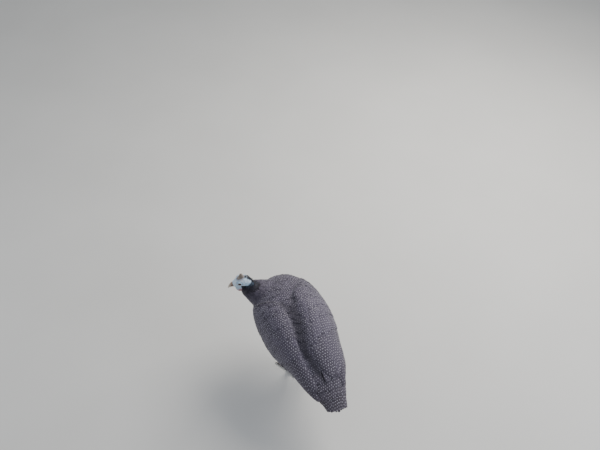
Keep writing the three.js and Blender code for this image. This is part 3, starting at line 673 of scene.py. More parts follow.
headForm = formOf([
    (-27, -3, 5.4, 4.8, 5.4), (-21, -2.2, 8, 7.2, 8.6), (-14, -0.8, 10.8, 10.6, 12), (-5, 0, 12.6, 13.2, 13),
    (5, 0, 12.4, 13.4, 13.2), (14, -1.4, 9.4, 10.2, 11), (20.5, -3, 0, 0, 0),
])
throatStops = [
    (fromHead(0, 1, -4), 11.6), (fromHead(0, 6, -9), 11.8), (fromHead(0, 10, -14), 11.2),
    (fromHead(0, 13, -20), 10.4), (Vector((64.5, -136, 288)), 9.8),
]
headRelief = {  # place and size of each swelling or hollow on the left of the head, and how far it stands out
    "brow": ((9.5, -7, 8.4), (3.2, 6.5, 2.2), 0.9),
    "ear": ((12.2, 7.5, -2), (3, 1.5, 1.9), -1.7),
    "cheek": ((9, -3, -9), (4, 6, 2.5), 0.7),
    "lores": ((8.6, -16.5, 0.5), (3.5, 3.6, 4), -1.0),
    "temple": ((11.5, 4.5, 5.5), (3.5, 4.5, 3), -0.6),
}
lidRings = [(0.55, 5.2, 0.8), (-0.4, 7.1, 0.6), (0.25, 8.3, 0.6)]  # height, distance from the pupil and width
lidEdge = {"radius": 4.85, "thickness": 0.8, "height": 3.55}  # the swollen rim of the lids


def eyeOf(side):
    # centre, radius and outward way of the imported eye, from its own mesh
    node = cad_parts["eye_left" if side > 0 else "eye_right"]
    points = np.array([tuple(v.co) for v in node.data.vertices]) / mm - np.array(aside)
    system = np.hstack([2 * points, np.ones((len(points), 1))])
    solved = np.linalg.lstsq(system, (points ** 2).sum(axis=1), rcond=None)[0]
    centre = Vector(solved[:3])
    radius = math.sqrt(solved[3] + centre.length_squared)
    return centre, radius, (Vector(points.mean(axis=0)) - centre).normalized()


def tube(name, stops, around=32):
    # round rings along a bent line, each square to it
    rings = []
    for i, (p, radius) in enumerate(stops):
        way = (stops[min(i + 1, len(stops) - 1)][0] - stops[max(i - 1, 0)][0]).normalized()
        beside = way.cross(Vector((0, 1, 0))).normalized()
        front = way.cross(beside)
        turns = [2 * math.pi * k / around for k in range(around)]
        rings.append([p + (beside * math.cos(a) + front * math.sin(a)) * radius for a in turns])
    return loft(name, rings)


def headSkin():
    rings = []
    for turn in np.linspace(0, math.pi, 40):
        y = -3.25 - 23.75 * math.cos(turn)
        pole = headForm["half"](y) < 0.1
        ring = [Vector((0, y, headForm["level"](y)))] if pole else formRing(headForm, y, 64, 2.05)
        rings.append([headPlace @ p for p in ring])
    parts = [loft("skull", rings), tube("throat", throatStops), copyOf("head", "headFlesh")]
    skin = joined("headSkin", parts)
    remeshed(skin, skinCut["headVoxel"], skinCut["headSmoothing"])
    s = alongAxis(pointsOf(skin))  # the cheeks and the back of the skull run smoothly into the neck
    soft = skin.vertex_groups.new(name="throat")
    for i, weight in enumerate((ease(s, 3, 10) * (1 - ease(s, 24, 29))).tolist()):
        if weight > 0:
            soft.add([i], weight, "REPLACE")
    finishWith(skin, "SMOOTH", factor=0.5, iterations=skinCut["throatSmoothing"], vertex_group="throat")
    skin.vertex_groups.clear()
    points = pointsOf(skin)
    local = headLocal(points)
    lift = np.zeros(len(points))
    for side in (1, -1):
        centre, radius, out = eyeOf(side)
        offset = points - np.array(centre)
        height = offset @ np.array(out)
        away = np.sqrt(np.maximum(0, (offset ** 2).sum(axis=1) - height ** 2))
        lift -= (height > 0) * 2.4 * (1 - ease(away, 2.8, 4.2))  # the opening for the eye
        for rise, distance, width in lidRings:
            lift += (height > 0) * rise * hump(away, width, distance)
        for (x, y, z), sizes, rise in headRelief.values():
            lift += rise * hump(gapTo(local, (side * x, y, z), sizes), 1)
        lift += 0.5 * hump(gapTo(local, (side * 12.2, 7.5, -2), (4, 1.0, 1.25)), 0.8, 2.9)  # the ear's rim
        along = np.clip((-16 - local[:, 1]) / -8, 0, 1)  # the corner of the mouth runs back and down
        gape = np.stack([side * blend(7.2, 11, along), blend(-16, -8, along), blend(-5, -7.4, along)], axis=1)
        lift -= 0.7 * hump(np.linalg.norm(local - gape, axis=1), 0.8)
    folds = np.sin(local[:, 1] * 1.3 + 2.2 * np.sin(local[:, 2] * 0.55))
    folds = folds * np.sin(local[:, 2] * 0.9 + local[:, 1] * 0.4)
    lift += 0.2 * folds * ease(-local[:, 2], -6, 2)
    front = -local[:, 1]
    lift += 0.85 * hump(front, 1.3, 21.7) - 2.2 * ease(front, 23.1, 24.6)  # a fleshy rim at the bill
    base = gapTo(local[:, :2], (0, 1), (5.8, 9.9))  # a low collar of skin round the casque
    lift += 1.1 * hump(base, 0.16, 1.08) * (local[:, 2] > 5)
    pushOut(skin, lift)
    return skin


# degrees round from straight ahead, outwards first, then length and radius
toeLines = [(4, 47, 4), (-36, 33, 3.7), (30, 37, 3.7), (172, 16, 3)]
scutes = {"shankStep": 4.8, "shankStarts": (0, 6.8, 20, 48), "shankRadius": 6.0, "toeStep": 3.3, "rise": 0.42,
          "edge": 0.1}


def plateGrooves(side, points):
    # 1 on the lines between horny plates: two rows down the front of the shank and one along each toe
    spans = []
    shank = [legPlace(side, p) for p in legStops["shank"]]
    for a, b, start in zip(shank, shank[1:], scutes["shankStarts"]):
        spans.append((a, b, start, scutes["shankRadius"], Vector((0, -1, 0)), scutes["shankStep"], 2))
    footX, footY = legStops["foot"]
    for way, length, radius in toeLines:
        a = legPlace(side, Vector((footX, footY, radius)))
        s, c = math.sin(math.radians(way)), math.cos(math.radians(way))
        ahead = Vector((footX + s * length, footY - c * length, radius))
        spans.append((a, legPlace(side, ahead), 0, radius, Vector((0, 0, 1)), scutes["toeStep"], 1))
    best = np.full(len(points), 1e9)
    plate, along, turn = np.zeros(len(points)), np.zeros(len(points)), np.zeros(len(points))
    for a, b, start, radius, front, step, rows in spans:
        axis = (b - a).normalized()
        front = (front - axis * front.dot(axis)).normalized()
        beside = axis.cross(front)
        offset = points - np.array(a)
        travel = offset @ np.array(axis)
        held = np.clip(travel, 0, (b - a).length)
        away = offset - held[:, None] * np.array(axis)
        gap = np.linalg.norm(away, axis=1) - radius
        nearer = gap < best
        best[nearer] = gap[nearer]
        around = np.arctan2(away @ np.array(beside), away @ np.array(front))
        along[nearer] = ((start + travel) / step + (0.5 * (around > 0) if rows == 2 else 0))[nearer]
        turn[nearer] = around[nearer]
        plate[nearer] = rows
    line = hump(np.abs(along - np.round(along)), scutes["edge"])
    frontLine = hump(np.abs(turn), 0.16) * (plate == 2)
    sideLine = hump(np.abs(turn), 0.14, 1.35)
    plated = 1 - ease(np.abs(turn), 1.3, 1.6)
    groove = np.maximum(np.maximum(line, frontLine) * plated, sideLine) * ease(points[:, 2], 1.0, 3.0)
    return groove * (1 - ease(points[:, 2], 88, 96))


def legSkin(side):
    # shank, toes and hock under horny plates
    word = "left" if side > 0 else "right"
    leg = joined("legSkin" + word, [copyOf(node + word, node + "flesh") for node in ("shank_", "foot_")])
    remeshed(leg, skinCut["legVoxel"], skinCut["legSmoothing"])
    points = pointsOf(leg)
    pushOut(leg, scutes["rise"] * (0.5 - plateGrooves(side, points)) * ease(points[:, 2], 0.2, 2.5))
    return leg


def united(base, *others):
    for other in others:
        finishWith(base, "BOOLEAN", operation="UNION", object=other, solver="MANIFOLD")
        bpy.data.objects.remove(other)
    return base


def writeAttribute(thing, name, values):
    layer = thing.data.attributes.new(name=name, type="FLOAT", domain="POINT")
    layer.data.foreach_set("value", np.asarray(values, dtype=float))


def lidRing(side):
    centre, radius, out = eyeOf(side)
    bpy.ops.object.select_all(action="DESELECT")
    bpy.ops.mesh.primitive_torus_add(
        major_radius=lidEdge["radius"] * mm, minor_radius=lidEdge["thickness"] * mm, major_segments=48,
        minor_segments=12, location=inFrame(centre + out * lidEdge["height"]),
        rotation=out.to_track_quat("Z", "Y").to_euler())
    bpy.ops.object.transform_apply(location=True, rotation=True, scale=True)
    return bpy.context.object


def markSkin(skin):
    points = pointsOf(skin)
    s = alongAxis(points)
    local = headLocal(points)
    pearl, collar = markingsAt(s)
    blue = 0.6 * ease(-local[:, 2], 8, 16)
    for side in (1, -1):
        away = np.linalg.norm(points - np.array(eyeOf(side)[0]), axis=1)
        blue = np.maximum(blue, 0.5 * hump(away, 1.8, 7.5))
    ring = gapTo(local[:, :2], (0, 1), (9, 13))
    behind = ease(local[:, 1] + 0.3 * local[:, 2], 12, 17) * ease(-np.abs(local[:, 0]), -6.5, -3)
    groove = np.where(points[:, 0] > 0, plateGrooves(1, points), plateGrooves(-1, points))
    shins = points[:, 2] < 104
    # the mark for the groove between the wings is painted shade
    marks = {"pearl": pearl, "collar": collar, "paintedGrooveShade": paintedGrooveShadeAt(points), "blue": blue,
             "crown": 0.75 * (1 - ease(ring, 0.7, 1.15)) * (local[:, 2] > 5),
             "nape": np.clip(0.7 * behind + ease(s, 10, 19), 0, 1), "groove": groove * shins}
    for name, values in marks.items():
        writeAttribute(skin, name, values)
    bare = (s < 31) & (points[:, 2] > 240)
    kinds = np.where(bare, 1, np.where(shins, 2, 0))
    firsts = [polygon.vertices[0] for polygon in skin.data.polygons]
    skin.data.polygons.foreach_set("material_index", kinds[firsts])


print("skin")
skinBody = bodySkin()
bodyTree = BVHTree.FromObject(skinBody, bpy.context.evaluated_depsgraph_get())
skinBody.data.calc_loop_triangles()
bodyCorners = pointsOf(skinBody)[np.array([t.vertices[:] for t in skinBody.data.loop_triangles])]
skin = united(skinBody, headSkin(), legSkin(1), legSkin(-1))
skin = joined("skin", [skin, lidRing(1), lidRing(-1)])
setMaterial(skin, underSkin(), faceSkin(), legSkinMaterial())
markSkin(skin)
only(skin)
bpy.ops.object.shade_smooth()
fleshNodes = ["torso", "neck", "head"]
fleshNodes += [node + word for node in ("thigh_", "shank_", "foot_") for word in ("left", "right")]
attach(skin, "root")
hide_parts(*fleshNodes)


# Plumage: every feather is a thin closed vane whose upper and under sheets share their rim


def vaneTemplate(rows, columns):
    faces, places = [], []

    def under(i, j):
        if 0 < i < rows - 1 and 0 < j < columns - 1:
            return rows * columns + (i - 1) * (columns - 2) + j - 1
        return i * columns + j

    for i, j in product(range(rows - 1), range(columns - 1)):
        corners = [(i, j), (i + 1, j), (i + 1, j + 1), (i, j + 1)]
        faces.append([a * columns + b for a, b in corners])
        places += [(0.72 * b / (columns - 1), a / (rows - 1)) for a, b in corners]
        faces.append([under(a, b) for a, b in corners[::-1]])
        places += [(0.78 + 0.22 * b / (columns - 1), a / (rows - 1)) for a, b in corners[::-1]]
    return {"faces": np.array(faces), "places": np.array(places)}


vanes = {  # shares down the feather, shares across it, and its width by the share down it
    "contour": {
        "rows": [0, 0.22, 0.45, 0.68, 0.86, 0.96, 1], "columns": [-1, -0.55, 0, 0.55, 1],
        "widths": [(0, 0.5), (0.25, 0.85), (0.5, 1), (0.72, 0.95), (0.88, 0.72), (0.96, 0.42), (1, 0.12)],
    },
    "flight": {
        "rows": [0, 0.1, 0.22, 0.35, 0.48, 0.6, 0.72, 0.82, 0.9, 0.95, 0.985, 1],
        "columns": [-1, -0.72, -0.38, 0, 0.38, 0.72, 1],
        "widths": [(0, 0.45), (0.3, 0.9), (0.6, 1), (0.86, 0.95), (0.94, 0.76), (0.985, 0.42), (1, 0.14)],
    },
}
for shape in vanes.values():
    shape["width"] = smoothThrough(shape["widths"], 1)
    shape.update(vaneTemplate(len(shape["rows"]), len(shape["columns"])))


def plume(vane, sheet, thickness, **marks):
    # each cell of the upper sheet is (point, outward normal, mm across, mm from the tip)
    cells = [cell for row in sheet for cell in row]
    inner = [cell for row in sheet[1:-1] for cell in row[1:-1]]
    points = [cell[0] for cell in cells] + [cell[0] - cell[1] * thickness for cell in inner]
    return {"vane": vane, "points": np.array([tuple(p) for p in points]),
            "across": np.array([cell[2:] for cell in cells + inner]), **marks}


def weave(name, plumes, material, replaced=()):
    # joins feathers to one piece; each has its own patch of OFBake at its root's place on the unwrapped skin
    columns = math.ceil(math.sqrt(len(plumes)))
    rows = math.ceil(len(plumes) / columns)
    plumes = sorted(plumes, key=lambda one: one["root"][1])
    points, faces, across, bakes, marks, start = [], [], [], [], [], 0
    for row in range(rows):
        line = sorted(plumes[row * columns:(row + 1) * columns], key=lambda one: one["root"][0])
        for column, one in enumerate(line):
            vane = one["vane"]
            points.append(one["points"])
            faces.append(vane["faces"] + start)
            across.append(one["across"][vane["faces"].ravel()])
            corner = (np.array([column, row]) + 0.06) / (columns, rows)
            bakes.append(corner + vane["places"] * np.array([0.88 / columns, 0.88 / rows]))
            marks.append(np.tile([one[key] for key in markNames[:4]], (len(one["points"]), 1)))
            start += len(one["points"])
    points, marks = np.concatenate(points), np.concatenate(marks)
    faces = [list(map(int, face)) for part in faces for face in part]
    thing = meshThing(name, (points + np.array(aside)) * mm, faces)
    for layerName, places in (("OFBake", bakes), ("vane", across)):
        layer = thing.data.uv_layers.new(name=layerName)
        layer.data.foreach_set("uv", np.concatenate(places).ravel())
    # the last mark is painted shade in the groove between the wings
    for key, values in zip(markNames, [*marks.T, paintedGrooveShadeAt(points)]):
        writeAttribute(thing, key, values)
    setMaterial(thing, material)
    only(thing)
    bpy.ops.object.shade_smooth_by_angle(angle=math.radians(55))
    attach(thing, "root")
    if replaced:
        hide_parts(*replaced)
    print(name, len(plumes), "feathers", len(thing.data.polygons), "faces")


def nearestSkin(p):
    spot, normal, index, distance = bodyTree.find_nearest(inFrame(p))
    return inLayout(spot), normal


def coatFeather(start, normal, way, length, width, lift, **marks):
    # a small feather laid along the skin: its line follows the lie, and its edges hug the form
    point, heading = start, way
    sheet, before, vane = [], 0, vanes["contour"]
    for t in vane["rows"]:
        if t > 0:
            point, normal = nearestSkin(point + heading * (t - before) * length)
            lie = Vector(flowsAt(np.array([point]))[0])
            turnedWay = heading * (1 - coat["follow"]) + lie * coat["follow"]
            heading = (turnedWay - normal * turnedWay.dot(normal)).normalized()
        before = t
        beside = normal.cross(heading).normalized()
        height = lift * t ** 0.5 - coat["rootDepth"]
        half = 0.5 * width * vane["width"](t)
        edges = {}
        for sign in (-1, 1):
            edge, edgeNormal = point + beside * sign * half, normal
            if half > coat["hugFrom"]:
                edge, edgeNormal = nearestSkin(edge)
            edges[sign] = edge - point + (edgeNormal - normal) * height
        row = []
        for c in vane["columns"]:
            edge = edges[-1 if c < 0 else 1]
            sunk = edge.dot(normal)
            arched = height - coat["arch"] * half * c * c * (0.3 + t)
            place = point + (edge - normal * sunk) * abs(c) + normal * (sunk * c * c + arched)
            row.append((place, normal, c * half, (1 - t) * length))
        sheet.append(row)
    return plume(vane, sheet, coat["thickness"], **marks)


# Distance down the axis, length, width, spacing along and across, height of the tip over the skin
coatSizes = np.array([
    (20, 7, 2.0, 2.2, 1.6, 0.8), (40, 9.5, 3.4, 3.0, 2.5, 1.2), (75, 14, 8, 4.4, 4.6, 2.1),
    (110, 18, 12, 5.4, 6.6, 2.9), (170, 22, 15, 6.6, 8.2, 3.3), (330, 25, 15.5, 7.2, 8.6, 3.4),
])
thighSizes = np.array([15, 8.5, 4.6, 5.2, 2.0])
wingSizeShares = np.array([0.8, 0.85, 0.88, 0.88, 0.8])
coat = {
    "candidates": 90000, "markSpread": 4, "turnSpread": 0.07, "sizeSpread": 0.08, "liftSpread": 0.12,
    "rootDepth": 0.5, "thickness": 0.3, "arch": 0.05,
    "follow": 0.4,  # how quickly a feather's line turns to the lie of the place it reaches
    "hugFrom": 2.5,  # from this half width on the edges are laid on the skin too
}


def coatCandidates(count):
    # places spread evenly over the skin, with all that a feather there needs to know
    crossed = np.cross(bodyCorners[:, 1] - bodyCorners[:, 0], bodyCorners[:, 2] - bodyCorners[:, 0])
    areas = np.linalg.norm(crossed, axis=1)
    picked = draw.choice(len(areas), count, p=areas / areas.sum())
    a, b = draw.random(count), draw.random(count)
    over = a + b > 1
    a[over], b[over] = 1 - a[over], 1 - b[over]
    corners = bodyCorners[picked]
    spots = corners[:, 0] + (corners[:, 1] - corners[:, 0]) * a[:, None]
    spots += (corners[:, 2] - corners[:, 0]) * b[:, None]
    s, degrees, thighAmounts = alongAxis(spots), fromGroove(spots)[0], thighShares(spots)[0]
    shares, y = wingShares(spots), spots[:, 1]
    onWing = (shares > 0) & (shares < 1) & (thighAmounts < 0.5) & (s > 100)
    tiered = onWing & (y > 6) & (shares > 0.1) & (shares < 0.93)
    underTail = (y > 126) & (np.abs(degrees) < 100) & (s > 150)
    kept = (s > 19) & (y < 164) & (spots[:, 2] > 95) & ~tiered & ~underTail
    normals = crossed[picked] / areas[picked][:, None]
    ways = flowsAt(spots)
    ways -= normals * (ways * normals).sum(axis=1)[:, None]
    ways /= np.linalg.norm(ways, axis=1)[:, None]
    sizes = np.stack([np.interp(s, coatSizes[:, 0], coatSizes[:, k]) for k in range(1, 6)], axis=1)
    sizes = sizes * (1 - thighAmounts[:, None]) + thighSizes * thighAmounts[:, None]
    sizes = np.where(onWing[:, None], sizes * wingSizeShares, sizes)
    spread = {"spot": spots, "s": s, "degrees": degrees, "thigh": thighAmounts, "onWing": onWing,
              "way": ways, "beside": np.cross(normals, ways), "size": sizes}
    return {key: values[kept] for key, values in spread.items()}


def coatRoots(count):
    # candidates are taken where no feather is too near along or across the lie
    found = coatCandidates(count)
    cells, roots = {}, []

    def crowded(x, y, z, way, beside, size, cell):
        for step in product((-1, 0, 1), repeat=3):
            for ox, oy, oz in cells.get((cell[0] + step[0], cell[1] + step[1], cell[2] + step[2]), ()):
                gx, gy, gz = ox - x, oy - y, oz - z
                ahead = (gx * way[0] + gy * way[1] + gz * way[2]) / size[2]
                across = (gx * beside[0] + gy * beside[1] + gz * beside[2]) / size[3]
                if ahead * ahead + across * across < 1 and abs(gx) + abs(gy) + abs(gz) < 16:
                    return True
        return False

    rows = zip(*(found[key].tolist() for key in ("spot", "way", "beside", "size")))
    for index, ((x, y, z), way, beside, size) in enumerate(rows):
        cell = (int(x // 10), int(y // 10), int(z // 10))
        if not crowded(x, y, z, way, beside, size, cell):
            cells.setdefault(cell, []).append((x, y, z))
            roots.append(index)
    return {key: values[roots] for key, values in found.items()}


def coatPieces():
    groups = {}
    found = coatRoots(coat["candidates"])
    for i in range(len(found["s"])):
        p, size, s, degrees = found["spot"][i], found["size"][i], found["s"][i], found["degrees"][i]
        pearl, collar = (float(m) for m in markingsAt(s + draw.normal(0, coat["markSpread"])))
        if found["thigh"][i] > 0.5:
            group = "coat_thigh_left" if p[0] > 0 else "coat_thigh_right"
        elif found["onWing"][i]:
            group = "coverts_left" if degrees > 0 else "coverts_right"
        elif s < 112:
            group = "coat_neck"
        elif abs(degrees) < 75:
            group = "coat_back"
        else:
            group = "coat_breast" if p[1] < -40 else "coat_belly"
        point, normal = nearestSkin(Vector(p))
        way = Vector(found["way"][i]) + Vector(found["beside"][i]) * draw.normal(0, coat["turnSpread"])
        way = (way - normal * way.dot(normal)).normalized()
        length, width = size[:2] * (1 + coat["sizeSpread"] * draw.normal())
        lift = size[4] * (1 + coat["liftSpread"] * draw.normal())
        one = coatFeather(point, normal, way, length, width, lift,
                          root=(degrees, p[1] if group != "coat_neck" else s), tint=float(draw.random()),
                          pearl=pearl, collar=collar, worn=0.0)
        groups.setdefault(group, []).append(one)
    return groups


# Folded wings and tail in tiers: root, tip and shares down the wing there, for the lowest and highest feather
wingTiers = [
    {"name": "primaries", "count": 8, "low": (66, 114, 0.96, 0.97), "high": (84, 170, 0.55, 0.46),
     "half": 6.4, "rise": (-1, 2), "bow": 0, "ragged": 0.8, "pearl": 0.8, "worn": 0.6},
    {"name": "secondaries", "count": 13, "low": (34, 100, 0.9, 0.88), "high": (44, 150, 0.08, 0.06),
     "half": 8, "rise": (-0.6, 2.6), "bow": 14, "ragged": 1.2, "pearl": 1, "worn": 0.35},
    {"name": "greaterCoverts", "count": 12, "low": (-8, 48, 0.9, 0.88), "high": (2, 78, 0.08, 0.06),
     "half": 8.5, "rise": (-0.4, 2.9), "bow": 4, "ragged": 2.0, "pearl": 1, "worn": 0.1},
    {"name": "medianCoverts", "count": 12, "low": (-26, 18, 0.89, 0.9), "high": (-16, 40, 0.08, 0.06),
     "half": 8.5, "rise": (-0.4, 3.3), "bow": 2, "ragged": 2.4, "pearl": 1, "worn": 0.05},
    {"name": "lesserCoverts", "count": 12, "low": (-44, -8, 0.88, 0.9), "high": (-34, 12, 0.1, 0.08),
     "half": 8.5, "rise": (-0.2, 3.7), "bow": 0, "ragged": 2.6, "pearl": 1, "worn": 0.0},
]
tailTiers = [
    {"pairs": 6, "first": (9, 14), "last": (55, 86), "ends": (134, 208), "short": 9, "half": 8,
     "rise": (-13, -4.4), "worn": 1.0},
    {"pairs": 5, "first": (12, 15), "last": (50, 70), "ends": (131, 184), "short": 8, "half": 8,
     "rise": (-11.4, -3.1), "worn": 0.8},
    {"pairs": 4, "first": (10, 12), "last": (44, 54), "ends": (128, 167), "short": 6, "half": 8,
     "rise": (-9.6, -2), "worn": 0.5},
    {"pairs": 3, "first": (13, 15), "last": (36, 42), "ends": (122, 151), "short": 5, "half": 8.5,
     "rise": (-8, -1), "worn": 0.3},
    {"pairs": 7, "first": (168, 165), "last": (98, 100), "ends": (134, 188), "short": 9, "half": 9,
     "rise": (-14, -4.8), "worn": 0.6},
]
# feathers of the vent and flanks, which close the coat under the wing tips
ventTiers = [
    {"pairs": 9, "first": (170, 168), "last": (72, 76), "ends": (118, 172), "short": 14, "half": 10,
     "rise": (-9, -4), "worn": 0.2},
    {"pairs": 9, "first": (170, 168), "last": (78, 80), "ends": (98, 150), "short": 8, "half": 11,
     "rise": (-6.5, -2.6), "worn": 0.1},
]
tierShape = {
    "layerStep": 0.7,  # height from one feather of a tier to the next
    "cup": 0.3, "thickness": 0.4, "middleRaise": 0.5, "tipSpread": 0.5, "innerReach": 3.6,
    "topFall": 2.6,  # how far the inner edge of the highest feather of a wing falls into the groove
}


def tierFeather(side, rootY, tipY, angleAt, spacingAt, tier, raised=0.0, reach=(1, 1), fall=0.0, **marks):
    # a long feather of a tier: it comes out from under the next tier and lies over its neighbour below
    sheet, vane = [], vanes["flight"]
    for t in vane["rows"]:
        y = blend(rootY, tipY, t)
        angle = angleAt(t)
        perRadian = (cloakPoint(y, side * (angle + 0.1)) - cloakPoint(y, side * (angle - 0.1))).length / 0.2
        emerged = blend(*tier["rise"], min(1, 0.5 * t + 1.1 * min(t, 0.4)))
        row = []
        for c in vane["columns"]:
            across = c * tier["half"] * vane["width"](t) * (reach[0] if c < 0 else reach[1])
            turn = across / perRadian
            height = emerged + tierShape["layerStep"] * turn / spacingAt(t) + raised
            height = height - tierShape["cup"] * c * c - fall * min(0, c) ** 2
            place = leaned(cloakPoint(y, side * (angle + turn), height))
            above = leaned(cloakPoint(y, side * (angle + turn), height + 1))
            row.append((place, (above - place).normalized(), side * across, (1 - t) * (tipY - rootY)))
        sheet.append(row if side < 0 else row[::-1])
    return plume(vane, sheet, tierShape["thickness"], tint=float(draw.random()), collar=0.0,
                 worn=tier["worn"], **marks)


def wingPlumes(side):
    flights, coverts = [], []
    for tier in wingTiers:
        steps = tier["count"] - 1
        for k in range(tier["count"]):
            share = k / steps
            rootY, tipY, rootV, tipV = (blend(a, b, share) for a, b in zip(tier["low"], tier["high"]))
            tipY += math.sin(math.pi * share) * tier["bow"] + draw.normal(0, tier["ragged"])

            def angleOf(v, t):
                return wingAngle(side, blend(rootY, tipY, t), v)

            def spacingAt(t):
                drop = blend(tier["low"][2] - tier["high"][2], tier["low"][3] - tier["high"][3], t)
                return angleOf(drop / steps, t) - angleOf(0, t)

            one = tierFeather(side, rootY, tipY, lambda t: angleOf(blend(rootV, tipV, t), t), spacingAt, tier,
                              fall=tierShape["topFall"] * share ** 6, root=(share, rootY),
                              pearl=tier["pearl"] * pearls["radius"])
            (flights if tier["name"] in ("primaries", "secondaries") else coverts).append(one)
    return flights, coverts


def fannedPlumes(tiers):
    plumes = []
    for tier in tiers:
        middle = 180 if tier["first"][0] > 90 else 0
        step = [math.radians(tier["last"][i] - tier["first"][i]) / (tier["pairs"] - 1) for i in (0, 1)]
        for k in range(-tier["pairs"], tier["pairs"] + 1):
            side, rank = (1 if k >= 0 else -1), abs(k)
            share = (rank - 1) / (tier["pairs"] - 1)
            ends = [middle if rank == 0 else blend(tier["first"][i], tier["last"][i], share) for i in (0, 1)]
            inner = 1 if rank == 0 else min(1, tierShape["innerReach"] * rank / tier["half"])
            shorter = (tier["short"] + side * bird["tailSkew"]) * rank / tier["pairs"]
            tip = tier["ends"][1] - shorter + draw.normal(0, tierShape["tipSpread"])
            plumes.append(tierFeather(
                side, tier["ends"][0], tip, lambda t: math.radians(blend(*ends, t)),
                lambda t: blend(*step, t) if rank else 1e9, tier, 0.0 if rank else tierShape["middleRaise"],
                (inner, 1) if middle == 0 else (1, inner), root=(k, sum(tier["ends"])),
                pearl=pearls["radius"]))
    return plumes


print("plumage")
groups = coatPieces()
for side, word in ((1, "left"), (-1, "right")):
    flights, coverts = wingPlumes(side)
    groups["coverts_" + word] += coverts
    weave("flights_" + word, flights, flightPlumage, ["wing_" + word])
weave("tail_feathers", fannedPlumes(tailTiers), flightPlumage, ["tail"])
weave("vent_feathers", fannedPlumes(ventTiers), slatePlumage)
for name, plumes in groups.items():
    weave(name, plumes, slatePlumage)


# Bristles: hair-like black feathers on the nape and sparsely on the bare neck

bristle = {
    "count": 700, "length": (4, 8), "lean": (0.16, 0.36), "rootDepth": 0.4, "bend": 1.6, "tipBend": 1.8,
    "radii": ((0, 0.24), (0.4, 0.2), (0.75, 0.13)),
}
bristleFaces = [[3 * i + k, 3 * i + (k + 1) % 3, 3 * i + 3 + (k + 1) % 3, 3 * i + 3 + k]
                for i in range(2) for k in range(3)]
bristleFaces += [[6, 7, 9], [7, 8, 9], [8, 6, 9], [2, 1, 0]]


def bristles():
    skinTree = BVHTree.FromObject(skin, bpy.context.evaluated_depsgraph_get())
    tops = pointsOf(skin)
    s = alongAxis(tops)
    local = headLocal(tops)
    middle = ease(-np.abs(local[:, 0]), -6.5, -2)
    chance = ease(local[:, 1] + 0.35 * local[:, 2], 12, 18) * middle * (s < 60)
    sparse = 0.14 * (s > 13) * (s < 45)
    chance = np.maximum(chance, sparse) * (tops[:, 2] > 240)
    chosen = draw.choice(len(tops), bristle["count"], replace=False, p=chance / chance.sum())
    points, faces, bakes = [], [], []
    columns = math.ceil(math.sqrt(bristle["count"]))
    ways = flowsAt(tops[chosen])
    for index, i in enumerate(chosen):
        spot, normal, face, gap = skinTree.find_nearest(inFrame(Vector(tops[i])))
        way = Vector(ways[index])
        way = (way - normal * way.dot(normal)).normalized()
        length = blend(*bristle["length"], draw.random()) * (0.7 if s[i] > 40 else 1)
        heading = (way + normal * blend(*bristle["lean"], draw.random())).normalized()
        beside = heading.cross(normal).normalized()
        across = beside.cross(heading)
        centre = inLayout(spot) - normal * bristle["rootDepth"]
        for t, radius in bristle["radii"]:
            at = centre + heading * length * t - normal * bristle["bend"] * t * t
            for k in range(3):
                turn = 2 * math.pi * k / 3
                points.append(at + (beside * math.cos(turn) + across * math.sin(turn)) * radius)
        points.append(centre + heading * length - normal * bristle["tipBend"])
        faces += [[10 * index + c for c in face] for face in bristleFaces]
        corner = (np.array([index % columns, index // columns]) + 0.08) / columns
        for u, v in 6 * [(0, 0), (1, 0), (1, 1), (0, 1)] + 4 * [(0, 0), (1, 0), (0.5, 1)]:
            bakes.append(corner + np.array([u, v]) * 0.8 / columns)
    thing = meshThing("nape_bristles", [inFrame(p) for p in points], faces)
    thing.data.uv_layers.new(name="OFBake").data.foreach_set("uv", np.array(bakes).ravel())
    setMaterial(thing, bristleMaterial())
    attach(thing, "root")


bristles()


# Bare parts

print("eyes, casque, bill, wattles and claws")


def placed(thing, node, material):
    setMaterial(thing, material)
    only(thing)
    bpy.ops.object.shade_smooth()
    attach(thing, "root")
    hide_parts(node)


wetEye = eyeMaterial()
for side, word in ((1, "left"), (-1, "right")):
    centre, radius, out = eyeOf(side)
    bpy.ops.object.select_all(action="DESELECT")
    bpy.ops.mesh.primitive_uv_sphere_add(
        segments=40, ring_count=24, radius=radius * mm, location=inFrame(centre))
    ball = bpy.context.object
    ball.name = "eyeball_" + word
    bpy.ops.object.transform_apply(location=True, rotation=True, scale=True)
    offset = pointsOf(ball) - np.array(centre)
    gaze = np.arccos(np.clip(offset @ np.array(out) / np.linalg.norm(offset, axis=1), -1, 1))
    bulge = 1 + 0.04 * (1 - ease(gaze, 0.2, 0.85))
    movePoints(ball, np.array(centre) + offset * bulge[:, None])
    writeAttribute(ball, "gaze", gaze / math.pi)
    placed(ball, "eye_" + word, wetEye)

# height, half length, half width and place along the crown of each level
casqueLevels = [
    (8, 9.9, 6.0, 0.8), (10.5, 9.7, 5.8, 0.9), (12.4, 9.2, 5.3, 1.2), (14.5, 8.2, 4.5, 1.9),
    (17, 7.0, 3.8, 2.9), (19.5, 5.9, 3.3, 4.1), (22, 4.7, 2.8, 5.3), (24, 3.6, 2.3, 6.2),
    (25.3, 2.5, 1.6, 6.8), (26, 1.3, 0.8, 7.2),
]


casqueShape = {
    "around": 56, "rings": 34, "roundness": 0.86, "top": (7.4, 26.2), "ridges": 0.16, "knobs": 0.12,
}


